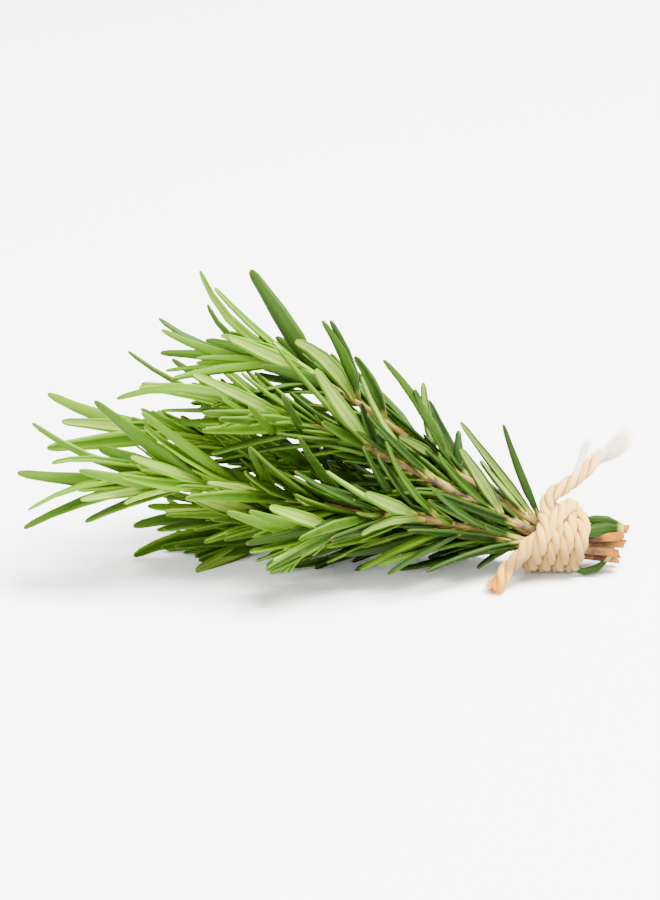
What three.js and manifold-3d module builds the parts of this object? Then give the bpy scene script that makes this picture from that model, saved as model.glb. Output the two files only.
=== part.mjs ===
// A small bunch of rosemary sprigs, tied with cotton twine and lying on its side.
// Millimetres. +X runs from the leaf tips towards the cut ends, +Y is the far side and +Z is up.
// The origin is on the flat underside of the twine, where the tie rests on the table.

import * as THREE from 'three';
import { mergeVertices } from 'three/addons/utils/BufferGeometryUtils.js';
import Module from 'manifold-3d';

const wasm = await Module();
wasm.setup();

const { degToRad: radians, clamp } = THREE.MathUtils;
const vec = (x, y, z) => new THREE.Vector3(x, y, z);

// ---------------------------------------------------------------- driving dimensions

// The point under the tie that becomes the origin. All the places below are given before that shift.
const REST_POINT = vec(63.7, 0.1, 0);

// The tie: where its middle is, and how far its axis rises towards the leaf tips.
const TIE = { centre: vec(59.5, 0, 8.6), rise: 9 };

// The twine: three strands, so a section of three lobes that turns once in each lay.
const TWINE = {
  strands: 3,
  lobe: 1.98,
  valley: 1.42,
  lay: 15.5,
  step: 2.15,
  turns: 4,
  pitch: 3.6,
  lean: 1.1,
  firstAngle: 70,
  firstTurn: 5.4,
  firstRadius: 7.6,
  lastRadius: 6.6,
  // How the first turn rises over the strand that is tucked under it.
  rise: { most: 2.2, angle: 20, spread: 30 },
  pointsPerTurn: 14,
  stationsPerPiece: 9,
  // The free end above the tie, down to the start of the first turn.
  upperEnd: [[78, 14, 31], [73.5, 11, 28.6], [68.5, 7.5, 26], [63.3, 3.4, 23], [58.6, -0.2, 19.8]],
  // The strand that crosses the turns: distance along the tie, angle round it, radius.
  crossing: [
    [-6.4, -208, 7.2], [-5.4, -236, 8.2], [-3.4, -262, 9.2], [-0.8, -287, 9.8], [2.2, -312, 9.4],
    [4.9, -336, 8], [7.6, -352, 7.4],
  ],
  // The free end in front of the tie, down to the table.
  lowerEnd: [[50, -9.5, 8.6], [47.2, -11.6, 5.2], [43.7, -14, 0.8]],
};

// Stems: seats in a ring round the centre one, from the cut end to the leafy tip.
const STEM = {
  tieRadius: 1.12,
  tipRadius: 0.7,
  sides: 6,
  steps: 10,
  seats: 7,
  seatRing: 3.1,
  leaveTie: 4.5,
  splay: 0.35,
  cutRise: 1.4,
  swing: 1.12,
  liftLate: 1.6,
  nearby: 0.005,
};

// Leaves: narrow blades, domed on the upper side and flat underneath.
const LEAF = {
  length: 30,
  halfWidth: 1.5,
  halfThickness: 0.6,
  bow: 0.07,
  fullFrom: 16,
  smallest: 0.6,
  rootOut: 0.8,
  // share of the length, share of the width, share of the thickness
  rings: [[0, 0.24, 0.55], [0.3, 0.95, 1], [0.72, 0.95, 1], [1, 0.36, 0.8]],
  outline: [[-1, -0.8], [1, -0.8], [0.55, 1], [-0.55, 1]],
};

// The leaves that the rule draws along each stem.
const GROWTH = {
  spreadAtEnds: 13,
  spreadMore: 20,
  spreadJitter: 7,
  turn: 90,
  turnJitter: 20,
  crowding: 1.05,
  shortest: 0.78,
  lengthJitter: 0.15,
  rollJitter: 25,
};

// How leaves are bent clear of what they would cross.
const CLEARANCE = {
  gap: 0.25,
  reach: 0.6,
  radius: 0.62,
  rootRadius: 0.4,
  // The leaf's half width at the points of its chains, as shares of the full one.
  widths: [0.2, 0.8, 1, 1, 0.9, 0.36],
  placedOwnFrom: 0.5,
  ruledOwnFrom: 0.2,
  angles: [0, 3, 6, 9, 13, 17, 22, 28, 35, 43, 52],
  directions: 8,
  shorter: [1, 0.75],
  floorSink: 0.8,
  // The bunch is round, so on its near side it rises off the table: from where, and how steeply.
  nearFrom: -4,
  nearRise: 0.5,
};

// The sprigs. seat: place in the ring (null is the centre). cut: length of bare stem beyond the
// tie's middle. tip: the leafy end. lift: how far the stem arches. first: share where leaves start.
// leaves: placed by hand, as [share along the stem, tip x, y, z, roll of the blade].
const SPRIGS = [
  {
    name: 'sprig_top', seat: 0, cut: 17.5, tip: [-9, 4, 55.5], lift: 2, first: 0.06, pairs: 6, turn: 180,
    seed: 11,
    leaves: [
      [0.97, -29.5, -3, 81, 20], [0.93, -26.5, 5, 74], [0.98, -28.5, 10, 68], [0.88, -18, 16, 75, -50],
      [0.98, -40, 8, 62, 20], [0.99, -41, 14, 63], [0.98, -41, 16, 53], [0.97, -29.5, 17, 56],
      [0.9, -22.5, -9, 66], [0.98, -31, -2, 58], [0.98, -37, -6, 54], [0.86, -27, -12, 49],
      [0.74, -6.5, -9, 65, 15], [0.72, 1, 10, 63.5], [0.62, 8, -2, 58.5, 50], [0.42, 15, -2, 57.5],
      [0.42, 25.5, 12, 46.5], [0.41, 19, -6, 39], [0.33, 34.5, 8, 35], [0.03, 34.5, 2, 39.5, 60],
      [0.02, 45.5, 8, 36], [0.07, 39.5, -1, 30.5], [-0.93, 68.8, -1.5, 15, 90], [-0.85, 68.8, -4.2, 13.6, 70],
    ],
  },
  {
    name: 'sprig_upper_front', seat: 1, cut: 13, tip: [-14.5, -8, 45.5], lift: 4, first: 0.05, pairs: 12,
    seed: 23,
    leaves: [
      [0.98, -44, -16, 55.5], [0.99, -50, -9, 50], [0.98, -48, 2, 59], [0.62, -1.5, -15, 60, 50],
      [0.6, 9.5, -8, 48.5, 60], [0.15, 34, -9, 37, 55], [0.85, -29, -16, 44.5, -50], [0.4, 12, -12, 48.5],
    ],
  },
  {
    name: 'sprig_front', seat: 3, cut: 16, tip: [-39, -10, 29.5], lift: 1, first: 0.04, pairs: 10, seed: 37,
    leaves: [
      [0.9, -55, -13, 51, -75], [0.99, -75.5, -8, 30.5], [0.87, -59, -19, 35, -60], [0.98, -72, -2, 41],
      [0.99, -72.5, -14, 22.5], [0.98, -74.5, -6, 14], [0.93, -59, -19, 27.5, -70],
      [0.92, -58.5, -12, 18.5], [0.88, -46.5, -17, 38], [0.79, -44, -14, 49, 40], [0.95, -64, 0, 29],
      [0.34, 10, -14, 39.5], [0.28, 13.5, -16, 38],
    ],
  },
  {
    name: 'sprig_near', seat: 2, cut: 14.5, tip: [-1, -17, 16.5], lift: 6.5, first: 0.02, pairs: 8, seed: 41,
    leaves: [
      [0.99, -23, -24, 26.5, 30], [0.97, -17.5, -27, 28], [0.93, -12.5, -29, 30, 40],
      [0.57, 10.5, -28, 33, 30], [0.4, 28.5, -13, 20.5], [0.38, 9.5, -14, 6.5], [0.75, -14, -11, 6],
      [0.1, 26, -14, 24], [0.14, 21, -16, 18], [0.08, 35, -9, 7.5], [0.1, 39, -5, 3],
      [-0.95, 67, -4.5, 1.5],
    ],
  },
  {
    name: 'sprig_lower', seat: 4, cut: 17, tip: [-16, -2, 16], lift: 0, first: 0.03, pairs: 11, seed: 53,
    leaves: [
      [0.98, -39.5, -6, 19], [0.97, -48.5, 6, 9.5], [0.97, -32, -13, 27.5], [0.88, -17.5, -14, 39],
      [0.62, -5.5, -16, 43.5], [0.95, -40, -3, 12.5],
    ],
  },
  {
    name: 'sprig_bottom', seat: 5, cut: 12.5, tip: [-21.5, 11, 3.5], lift: 0, first: 0.03, pairs: 11, seed: 67,
    leaves: [
      [0.98, -48.5, 5, 1.5], [0.9, -32.5, -2, 0.2], [0.8, -37.5, 0, 6.5], [0.95, -41, 11, 1],
      [0.97, -37, 20, 0.2], [0.45, -2, -1, 0.2], [0.6, -13, 0, 0.5],
    ],
  },
  {
    name: 'sprig_centre', seat: null, cut: 17.5, tip: [-37, 8, 35], lift: 0.5, first: 0.05, pairs: 12, seed: 71,
    leaves: [
      [0.98, -66, 9, 37, 60], [0.99, -69, 1, 33, -55], [0.98, -70, 16, 42], [0.85, -42, 14, 38],
      [0.62, -17.5, -4, 46], [0.57, -9.5, -2, 48],
    ],
  },
  {
    name: 'sprig_back', seat: 6, cut: 15.5, tip: [-22.5, 22, 38.5], lift: 2, first: 0.06, pairs: 11, seed: 83,
    leaves: [],
  },
];

// The space under the table, which cuts what would reach into it.
const TABLE = { size: 400, depth: 40 };

const COLOUR = { leaf: 0x6f9440, twine: 0xe6d9c2 };

// Vertices closer than MERGE are one. Straight pieces whose cross term is under PARALLEL don't cross.
const MERGE = 1e-4;
const PARALLEL = 1e-9;

// ---------------------------------------------------------------- solids

function solidFrom(geometry) {
  geometry.deleteAttribute('normal');
  geometry.deleteAttribute('uv');
  const merged = mergeVertices(geometry, MERGE);
  return new wasm.Manifold(new wasm.Mesh({
    numProp: 3,
    vertProperties: merged.getAttribute('position').array,
    triVerts: new Uint32Array(merged.index.array),
  }));
}

function geometryFrom(solid) {
  const { numProp, vertProperties, triVerts } = solid.getMesh();
  const geometry = new THREE.BufferGeometry();
  geometry.setAttribute('position', new THREE.BufferAttribute(new Float32Array(vertProperties), numProp));
  geometry.setIndex(new THREE.BufferAttribute(new Uint32Array(triVerts), 1));
  geometry.computeVertexNormals();
  return geometry;
}

// An outline carried through a list of stations: { at, side, up, wide, deep }.
// side x up points along the sweep.
// A left-handed twist is swept mirrored, so that its faces fold along the twist.
function sweep(outline, stations, mirrored = false) {
  const shape = new THREE.Shape(outline.map(([x, y]) => new THREE.Vector2(x, y)));
  const steps = stations.length - 1;
  const geometry = new THREE.ExtrudeGeometry(shape, { depth: steps, steps, bevelEnabled: false });
  const flat = geometry.getAttribute('position');
  const placed = flat.clone();
  for (let i = 0; i < flat.count; i += 1) {
    const { at, side, up, wide, deep } = stations[Math.round(flat.getZ(i))];
    const point = at.clone()
      .addScaledVector(side, flat.getX(i) * (mirrored ? -wide : wide))
      .addScaledVector(up, flat.getY(i) * deep);
    const corner = mirrored ? i + [0, 1, -1][i % 3] : i;
    placed.setXYZ(corner, point.x, point.y, point.z);
  }
  geometry.setAttribute('position', placed);
  return solidFrom(geometry);
}

// Everything joined, with any sealed hollow filled and any loose scrap dropped.
function joined(solids) {
  const bodies = wasm.Manifold.union(solids).decompose();
  return bodies.reduce((most, body) => (body.volume() > most.volume() ? body : most));
}

// What would reach below the table is cut flat there.
const underTable = solidFrom(
  new THREE.BoxGeometry(TABLE.size, TABLE.size, TABLE.depth).translate(0, 0, -TABLE.depth / 2),
);

// The part of a vector that is square to another one, at unit length.
function squareTo(vector, axis) {
  return vector.clone().addScaledVector(axis, -vector.dot(axis)).normalize();
}

// ---------------------------------------------------------------- the tie

const tieAxis = vec(-Math.cos(radians(TIE.rise)), 0, Math.sin(radians(TIE.rise)));
const tieAcross = vec(0, -1, 0);
const tieUp = vec(Math.sin(radians(TIE.rise)), 0, Math.cos(radians(TIE.rise)));

// A point by its distance along the tie's axis, its angle up from the near side, and its radius.
function roundTie(along, angle, radius) {
  return TIE.centre.clone()
    .addScaledVector(tieAxis, along)
    .addScaledVector(tieAcross, radius * Math.cos(radians(angle)))
    .addScaledVector(tieUp, radius * Math.sin(radians(angle)));
}

// The twine's route: a free end, the turns, a strand across them and under the first, a free end.
function twineRoute() {
  const { rise, firstAngle } = TWINE;
  const turns = [];
  const lastAngle = 180 - TWINE.turns * 360;
  const count = Math.round((firstAngle - lastAngle) / 360 * TWINE.pointsPerTurn);
  for (let i = 0; i <= count; i += 1) {
    const angle = firstAngle + (lastAngle - firstAngle) * i / count;
    const wound = TWINE.pitch * Math.min(0, angle) / 360;
    const along = TWINE.firstTurn + wound - TWINE.lean * Math.sin(radians(angle));
    const share = -wound / (2 * TWINE.firstTurn);
    const radius = TWINE.firstRadius + (TWINE.lastRadius - TWINE.firstRadius) * share;
    const lift = rise.most * Math.exp(-(((angle - rise.angle) / rise.spread) ** 2));
    turns.push(roundTie(along, angle, radius + lift));
  }
  const points = [
    ...TWINE.upperEnd.map((place) => vec(...place)),
    ...turns,
    ...TWINE.crossing.map((place) => roundTie(...place)),
    ...TWINE.lowerEnd.map((place) => vec(...place)),
  ];
  return new THREE.CatmullRomCurve3(points, false, 'centripetal');
}

// Stations along a curve with a frame that doesn't spin, then the lay of the strands added.
function twineStations(curve) {
  const length = curve.getLength();
  const count = Math.round(length / TWINE.step);
  const stations = [];
  let up = squareTo(vec(0, 1, 0), curve.getTangentAt(0));
  for (let i = 0; i <= count; i += 1) {
    const tangent = curve.getTangentAt(i / count);
    up = squareTo(up, tangent);
    const side = up.clone().cross(tangent);
    const lay = -2 * Math.PI * (length * i / count) / TWINE.lay;
    stations.push({
      at: curve.getPointAt(i / count),
      side: side.clone().multiplyScalar(Math.cos(lay)).addScaledVector(up, Math.sin(lay)),
      up: up.clone().multiplyScalar(Math.cos(lay)).addScaledVector(side, -Math.sin(lay)),
      wide: 1,
      deep: 1,
    });
  }
  return stations;
}

function twineSolid(stations) {
  const outline = [];
  for (let i = 0; i < 2 * TWINE.strands; i += 1) {
    const angle = i * Math.PI / TWINE.strands;
    const radius = i % 2 ? TWINE.valley : TWINE.lobe;
    outline.push([radius * Math.cos(angle), radius * Math.sin(angle)]);
  }
  const pieces = [];
  for (let i = 0; i < stations.length - 1; i += TWINE.stationsPerPiece) {
    pieces.push(sweep(outline, stations.slice(i, i + TWINE.stationsPerPiece + 1), true));
  }
  return joined(pieces);
}

// ---------------------------------------------------------------- stems

// A stem as functions of a share: 0 to 1 from the tie to the leafy tip, 0 to -1 from the tie's
// middle to the cut end.
function stemOf(sprig) {
  const angle = radians(90 - sprig.seat * 360 / STEM.seats);
  const ring = sprig.seat === null ? 0 : STEM.seatRing;
  const seat = vec(0, 0, 0)
    .addScaledVector(tieAcross, ring * Math.cos(angle))
    .addScaledVector(tieUp, ring * Math.sin(angle));
  const exit = TIE.centre.clone().add(seat).addScaledVector(tieAxis, STEM.leaveTie);
  const reach = vec(...sprig.tip).sub(exit);
  const run = reach.dot(tieAxis);
  const swing = reach.clone().addScaledVector(tieAxis, -run);
  const leafyPoint = (share) => exit.clone()
    .addScaledVector(tieAxis, run * share)
    .addScaledVector(swing, share ** STEM.swing)
    .add(vec(0, 0, sprig.lift * Math.sin(Math.PI * share ** STEM.liftLate)));
  const cutPoint = (share) => TIE.centre.clone()
    .addScaledVector(seat, 1 + STEM.splay * share ** 2)
    .addScaledVector(tieAxis, -sprig.cut * share)
    .add(vec(0, 0, STEM.cutRise * share ** 2));
  const point = (share) => (share < 0 ? cutPoint(-share) : leafyPoint(share));
  const towards = (share) => point(share + STEM.nearby).sub(point(share - STEM.nearby)).normalize();
  const radius = (share) => STEM.tieRadius + (STEM.tipRadius - STEM.tieRadius) * Math.max(0, share);
  return { point, towards, radius };
}

// Where along a stem its sections are.
function stemShares() {
  const shares = [-1, -0.5];
  for (let i = 0; i <= STEM.steps; i += 1) shares.push(i / STEM.steps);
  return shares;
}

function stemSolid(stem) {
  const outline = [];
  for (let i = 0; i < STEM.sides; i += 1) {
    const angle = (i + 0.5) * 2 * Math.PI / STEM.sides;
    outline.push([Math.cos(angle), Math.sin(angle)]);
  }
  const shares = stemShares();
  const centres = shares.map(stem.point);
  const stations = centres.map((at, i) => {
    const before = centres[Math.max(i - 1, 0)];
    const after = centres[Math.min(i + 1, centres.length - 1)];
    const tangent = after.clone().sub(before).normalize();
    const up = squareTo(tieUp, tangent);
    const radius = stem.radius(shares[i]);
    return { at, side: up.clone().cross(tangent), up, wide: radius, deep: radius };
  });
  return sweep(outline, stations);
}

// ---------------------------------------------------------------- leaves

// A small seeded generator, so that every run draws the same leaves.
function randomFrom(seed) {
  let state = seed;
  return () => {
    state = (state * 1664525 + 1013904223) % 4294967296;
    return state / 4294967296;
  };
}

// A leaf: its centreline is a curve of three points, and facing is its upper side's direction.
function leafOf(root, tip, facing) {
  const run = tip.clone().sub(root);
  const length = run.length();
  const forward = run.normalize();
  const up = squareTo(facing, forward);
  const side = up.clone().cross(forward);
  const scale = clamp(length / LEAF.fullFrom, LEAF.smallest, 1);
  const middle = root.clone().add(tip).multiplyScalar(0.5).addScaledVector(up, LEAF.bow * length);
  const lowest = Math.abs(side.z) * LEAF.halfWidth * scale + Math.abs(up.z) * LEAF.halfThickness
    - CLEARANCE.floorSink;
  const table = (point) => lowest + CLEARANCE.nearRise * Math.max(0, CLEARANCE.nearFrom - point.y);
  const settle = (point) => vec(point.x, point.y, Math.max(point.z, table(point)));
  return { root, middle: settle(middle), tip: settle(tip), up, scale };
}

// The leaf turned by an angle in one of several directions about its root.
function turned(leaf, angle, direction, shorter) {
  const run = leaf.tip.clone().sub(leaf.root);
  const length = run.length();
  const forward = run.normalize();
  const up = squareTo(leaf.up, forward);
  const side = up.clone().cross(forward);
  const away = Math.tan(radians(angle));
  const around = direction * 2 * Math.PI / CLEARANCE.directions;
  forward.addScaledVector(side, away * Math.cos(around)).addScaledVector(up, away * Math.sin(around));
  const tip = leaf.root.clone().addScaledVector(forward.normalize(), length * shorter);
  return leafOf(leaf.root, tip, leaf.up);
}

function leafFrame(leaf, share) {
  const rest = 1 - share;
  const at = leaf.root.clone().multiplyScalar(rest * rest)
    .addScaledVector(leaf.middle, 2 * rest * share)
    .addScaledVector(leaf.tip, share * share);
  const forward = leaf.middle.clone().sub(leaf.root).multiplyScalar(rest)
    .addScaledVector(leaf.tip.clone().sub(leaf.middle), share)
    .normalize();
  const up = squareTo(leaf.up, forward);
  return { at, up, side: up.clone().cross(forward) };
}

function leafSolid(leaf) {
  const stations = LEAF.rings.map(([share, wide, deep]) => ({
    ...leafFrame(leaf, share),
    wide: wide * LEAF.halfWidth * leaf.scale,
    deep: deep * LEAF.halfThickness,
  }));
  return sweep(LEAF.outline, stations);
}

// The blade's upper side faces the stem's tip, turned about the leaf by roll.
function facingOf(forward, along, roll) {
  const up = squareTo(along, forward);
  const side = up.clone().cross(forward);
  return up.multiplyScalar(Math.cos(radians(roll))).addScaledVector(side, Math.sin(radians(roll)));
}

// Leaves grow from just inside the stem's side.
function rootOn(stem, share, outward) {
  const out = squareTo(outward, stem.towards(share));
  return stem.point(share).addScaledVector(out, LEAF.rootOut * stem.radius(share));
}

function placedLeaves(sprig, stem) {
  return sprig.leaves.map(([share, x, y, z, roll = 0]) => {
    const tip = vec(x, y, z);
    const root = rootOn(stem, share, tip.clone().sub(stem.point(share)));
    const forward = tip.clone().sub(root).normalize();
    return leafOf(root, tip, facingOf(forward, stem.towards(share), roll));
  });
}

function ruledLeaves(sprig, stem) {
  const random = randomFrom(sprig.seed);
  const jitter = (most) => most * (2 * random() - 1);
  const leaves = [];
  for (let pair = 0; pair < sprig.pairs; pair += 1) {
    const grown = 1 - (1 - (pair + 0.5) / sprig.pairs) ** GROWTH.crowding;
    const share = sprig.first + (1 - sprig.first) * grown;
    const along = stem.towards(share);
    const across = squareTo(tieUp, along);
    const over = across.clone().cross(along);
    const turn = 90 + pair * (sprig.turn ?? GROWTH.turn) + jitter(GROWTH.turnJitter);
    for (const half of [0, 180]) {
      const angle = radians(turn + half);
      const outward = across.clone().multiplyScalar(Math.cos(angle)).addScaledVector(over, Math.sin(angle));
      const spread = radians(
        GROWTH.spreadAtEnds + GROWTH.spreadMore * Math.sin(Math.PI * share) + jitter(GROWTH.spreadJitter),
      );
      const full = GROWTH.shortest + (1 - GROWTH.shortest) * Math.sin(Math.PI * share);
      const length = LEAF.length * full * (1 + jitter(GROWTH.lengthJitter));
      const roll = jitter(GROWTH.rollJitter);
      const forward = along.clone().multiplyScalar(Math.cos(spread)).addScaledVector(outward, Math.sin(spread));
      const root = rootOn(stem, share, outward);
      const tip = root.clone().addScaledVector(forward, length);
      leaves.push(leafOf(root, tip, facingOf(forward, along, roll)));
    }
  }
  return leaves;
}

// ---------------------------------------------------------------- bending clear

// Distance between two straight pieces, each { a, b }.
function pieceDistance(p, q) {
  const d1 = p.b.clone().sub(p.a);
  const d2 = q.b.clone().sub(q.a);
  const r = p.a.clone().sub(q.a);
  const a = d1.lengthSq();
  const e = d2.lengthSq();
  const f = d2.dot(r);
  const c = d1.dot(r);
  const b = d1.dot(d2);
  const spread = a * e - b * b;
  let s = spread > PARALLEL ? clamp((b * f - c * e) / spread, 0, 1) : 0;
  let t = (b * s + f) / e;
  if (t < 0 || t > 1) {
    t = clamp(t, 0, 1);
    s = clamp((b * t - c) / a, 0, 1);
  }
  return r.addScaledVector(d1, s).addScaledVector(d2, -t).length();
}

// A round-ended rod chain: the space that a stem, the twine or a leaf takes up.
function chain(owner, points, radius, outerFrom = 0, rootRadius = radius) {
  const rods = [];
  const box = new THREE.Box3().setFromPoints(points);
  for (let i = 1; i < points.length; i += 1) {
    const outer = (i - 1) / (points.length - 1) >= outerFrom;
    rods.push({ a: points[i - 1], b: points[i], radius: i === 1 ? rootRadius : radius, outer });
  }
  return { owner, rods, box: box.expandByScalar(radius + CLEARANCE.gap) };
}

// A leaf takes up three chains: its centreline and a line near each edge.
function leafChains(owner, leaf, ownFrom) {
  const { widths, reach, radius, rootRadius } = CLEARANCE;
  return [-1, 0, 1].map((way) => {
    const points = widths.map((width, i) => {
      const { at, side } = leafFrame(leaf, i / (widths.length - 1));
      return at.addScaledVector(side, way * reach * width * LEAF.halfWidth * leaf.scale);
    });
    return chain(owner, points, radius, ownFrom, rootRadius);
  });
}

function crosses(chainA, chainB) {
  if (!chainA.box.intersectsBox(chainB.box)) return false;
  const own = chainA.owner === chainB.owner;
  return chainA.rods.some((p) => chainB.rods.some((q) => {
    if (own && !(p.outer && q.outer)) return false;
    const gap = own ? 0 : CLEARANCE.gap;
    return pieceDistance(p, q) < p.radius + q.radius + gap;
  }));
}

// The first way of bending a leaf that clears every other sprig, and if it can its own leaves too.
function bentClear(owner, leaf, ownFrom, others, own) {
  let second = null;
  for (const shorter of CLEARANCE.shorter) {
    for (const angle of CLEARANCE.angles) {
      const directions = angle ? CLEARANCE.directions : 1;
      for (let direction = 0; direction < directions; direction += 1) {
        const tried = turned(leaf, angle, direction, shorter);
        const chains = leafChains(owner, tried, ownFrom);
        const meets = (list) => chains.some((one) => list.some((other) => crosses(one, other)));
        if (meets(others)) continue;
        if (!meets(own)) return { leaf: tried, chains };
        second ??= { leaf: tried, chains };
      }
    }
    if (second) return second;
  }
  return null;
}

// ---------------------------------------------------------------- the bunch

const stations = twineStations(twineRoute());
const taken = [chain('twine', stations.map((station) => station.at), TWINE.lobe)];
const plants = SPRIGS.map((sprig) => ({ ...sprig, stem: stemOf(sprig), grown: [] }));
for (const plant of plants) {
  taken.push(chain(plant.name + ' stem', stemShares().map(plant.stem.point), STEM.tieRadius));
}

function grow(plant, leaves, ownFrom) {
  for (const leaf of leaves) {
    const others = taken.filter(({ owner }) => owner !== plant.name && owner !== plant.name + ' stem');
    const own = taken.filter(({ owner }) => owner === plant.name);
    const found = bentClear(plant.name, leaf, ownFrom, others, own);
    if (!found) continue;
    plant.grown.push(found.leaf);
    taken.push(...found.chains);
  }
}

for (const plant of plants) grow(plant, placedLeaves(plant, plant.stem), CLEARANCE.placedOwnFrom);
for (const plant of plants) grow(plant, ruledLeaves(plant, plant.stem), CLEARANCE.ruledOwnFrom);

function meshOf(name, solid, colour, roughness) {
  const material = new THREE.MeshStandardMaterial({ color: colour, roughness, metalness: 0 });
  const mesh = new THREE.Mesh(geometryFrom(solid.subtract(underTable)), material);
  mesh.name = name;
  return mesh;
}

const bunch = new THREE.Group();
bunch.name = 'rosemary_bunch';
for (const plant of plants) {
  const solid = joined([stemSolid(plant.stem), ...plant.grown.map(leafSolid)]);
  bunch.add(meshOf(plant.name, solid, COLOUR.leaf, 0.5));
}
bunch.add(meshOf('twine', twineSolid(stations), COLOUR.twine, 0.95));
bunch.position.copy(REST_POINT).negate();

export default bunch;
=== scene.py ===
"""Dresses a small bunch of rosemary sprigs that is tied with cotton twine and lies on its side.

The sprigs' plan is worked out as in the part's source, in millimetres, from the same values. A leaf
that was bent clear of its neighbours there is found again by its corners, which are in the frame.
"""

import math

import bpy
import numpy as np
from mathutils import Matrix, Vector, kdtree


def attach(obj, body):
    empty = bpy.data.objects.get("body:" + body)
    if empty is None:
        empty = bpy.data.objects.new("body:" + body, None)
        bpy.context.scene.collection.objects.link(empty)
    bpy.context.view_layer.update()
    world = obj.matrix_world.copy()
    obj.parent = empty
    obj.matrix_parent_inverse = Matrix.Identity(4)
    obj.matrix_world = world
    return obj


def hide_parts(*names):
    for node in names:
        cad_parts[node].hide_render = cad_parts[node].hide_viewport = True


bl_info = {
    "name": "Rosemary Bunch",
    "version": (1, 0, 0),
    "blender": (4, 5, 0),
    "location": "3D View > Sidebar > Rosemary",
    "description": "Leaves, stems, twine and a plain studio for a tied bunch of rosemary",
    "category": "Object",
}

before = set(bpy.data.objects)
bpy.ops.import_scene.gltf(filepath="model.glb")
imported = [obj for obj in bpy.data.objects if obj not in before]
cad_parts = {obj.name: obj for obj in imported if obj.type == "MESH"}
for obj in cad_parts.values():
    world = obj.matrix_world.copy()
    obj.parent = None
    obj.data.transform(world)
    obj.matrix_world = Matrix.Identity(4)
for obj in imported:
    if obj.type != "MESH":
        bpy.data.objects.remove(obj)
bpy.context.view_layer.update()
MM = 0.001


# ---------------------------------------------------------------- the plan, in millimetres

# Where the frame's origin lies in the plan.
REST_POINT = np.array([63.7, 0.1, 0.0])
# The middle of the tie, and how steeply the stems rise through it.
TIE = {"centre": np.array([59.5, 0.0, 8.6]), "rise": math.radians(9)}
# The twine's route: the free end above the tie, the turns round it from the first angle back to the last,
# of which the first rises over the strand that is tucked under it, the strand that crosses them, and the
# free end in front. A point of the crossing is its distance along the tie, its angle round it in degrees,
# and its radius.
TWINE = {
    "strands": 3,
    "step": 2.15,
    "turns": 4,
    "pitch": 3.45,
    "lean": 1.1,
    "first_angle": 70,
    "last_angle": 180,
    "first_turn": 5.4,
    "first_radius": 7.6,
    "last_radius": 6.1,
    "rise": {"most": 1.6, "angle": 20, "spread": 30},
    "points_per_turn": 14,
    "upper_end": [(78, 14, 31), (73.5, 11, 28.6), (68.5, 7.5, 26), (63, 3.4, 22.8), (57.3, -0.2, 20)],
    "crossing": [
        (-5.6, -208, 6.9), (-3.8, -236, 7.9), (-1.8, -262, 9.1), (0.4, -287, 9.8), (2.8, -312, 9.4),
        (4.9, -336, 8), (7.6, -352, 7.4),
    ],
    "lower_end": [(50, -9.5, 8.6), (46.3, -11.6, 5.6), (43.5, -14, 1.1)],
    # A curve's length is measured in this many straight pieces.
    "divisions": 200,
}
# The stems' seats in a ring round the centre one, and how they bend and narrow from the tie on.
STEM = {
    "seats": 7,
    "seat_ring": 3.1,
    "leave_tie": 4.5,
    "splay": 0.35,
    "cut_rise": 1.4,
    "swing": 1.12,
    "lift_late": 1.6,
    "nearby": 0.005,
    "tie_radius": 1.12,
    "tip_radius": 0.7,
}
# A leaf's length and half its width and thickness, its bow as a share of its length, from which length on
# it has its full width and how narrow a short one may be, and how far out on its stem's radius its root
# lies. rings are a solid leaf's sections: where along it, and their share of its width and thickness.
# outline has the corners of a section.
LEAF = {
    "length": 30,
    "half_width": 1.5,
    "half_thickness": 0.6,
    "bow": 0.07,
    "full_from": 16,
    "smallest": 0.6,
    "root_out": 0.8,
    "rings": [(1, 0.36, 0.8), (0.72, 0.95, 1), (0.3, 0.95, 1)],
    "outline": [(-1, -0.8), (1, -0.8), (0.55, 1), (-0.55, 1)],
}
# How leaves grow by the rule: how far they spread from the stem and how far each pair is turned from the
# one before, in degrees, how closely the pairs stand towards the tip, and how long the leaves are.
GROWTH = {
    "spread_at_ends": 13,
    "spread_more": 20,
    "spread_jitter": 7,
    "first_turn": 90,
    "turn": 90,
    "turn_jitter": 20,
    "crowding": 1.05,
    "shortest": 0.78,
    "length_jitter": 0.15,
    "roll_jitter": 25,
}
# How a leaf may have been bent clear of its neighbours, in degrees, and how it was kept off the table: it
# may sink in a little, but stays higher the further it is to the front.
CLEARANCE = {
    "angles": [0, 3, 6, 9, 13, 17, 22, 28, 35, 43, 52],
    "directions": 8,
    "shorter": [1, 0.75],
    "floor_sink": 0.8,
    "near_from": -4,
    "near_rise": 0.5,
    # How close a corner of a leaf has to be to one in the frame to be the same.
    "same": 0.02,
}

# Looks that leaves share: one that shows its open felt to the front, an old one with its margins rolled
# under, and a young one that shows its upper side to the front.
PALE = {"front": -1, "roll": 0}
DARK = {"roll": 1, "tone": 1}
BRIGHT = {"front": 1, "tone": 0.3}
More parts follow.
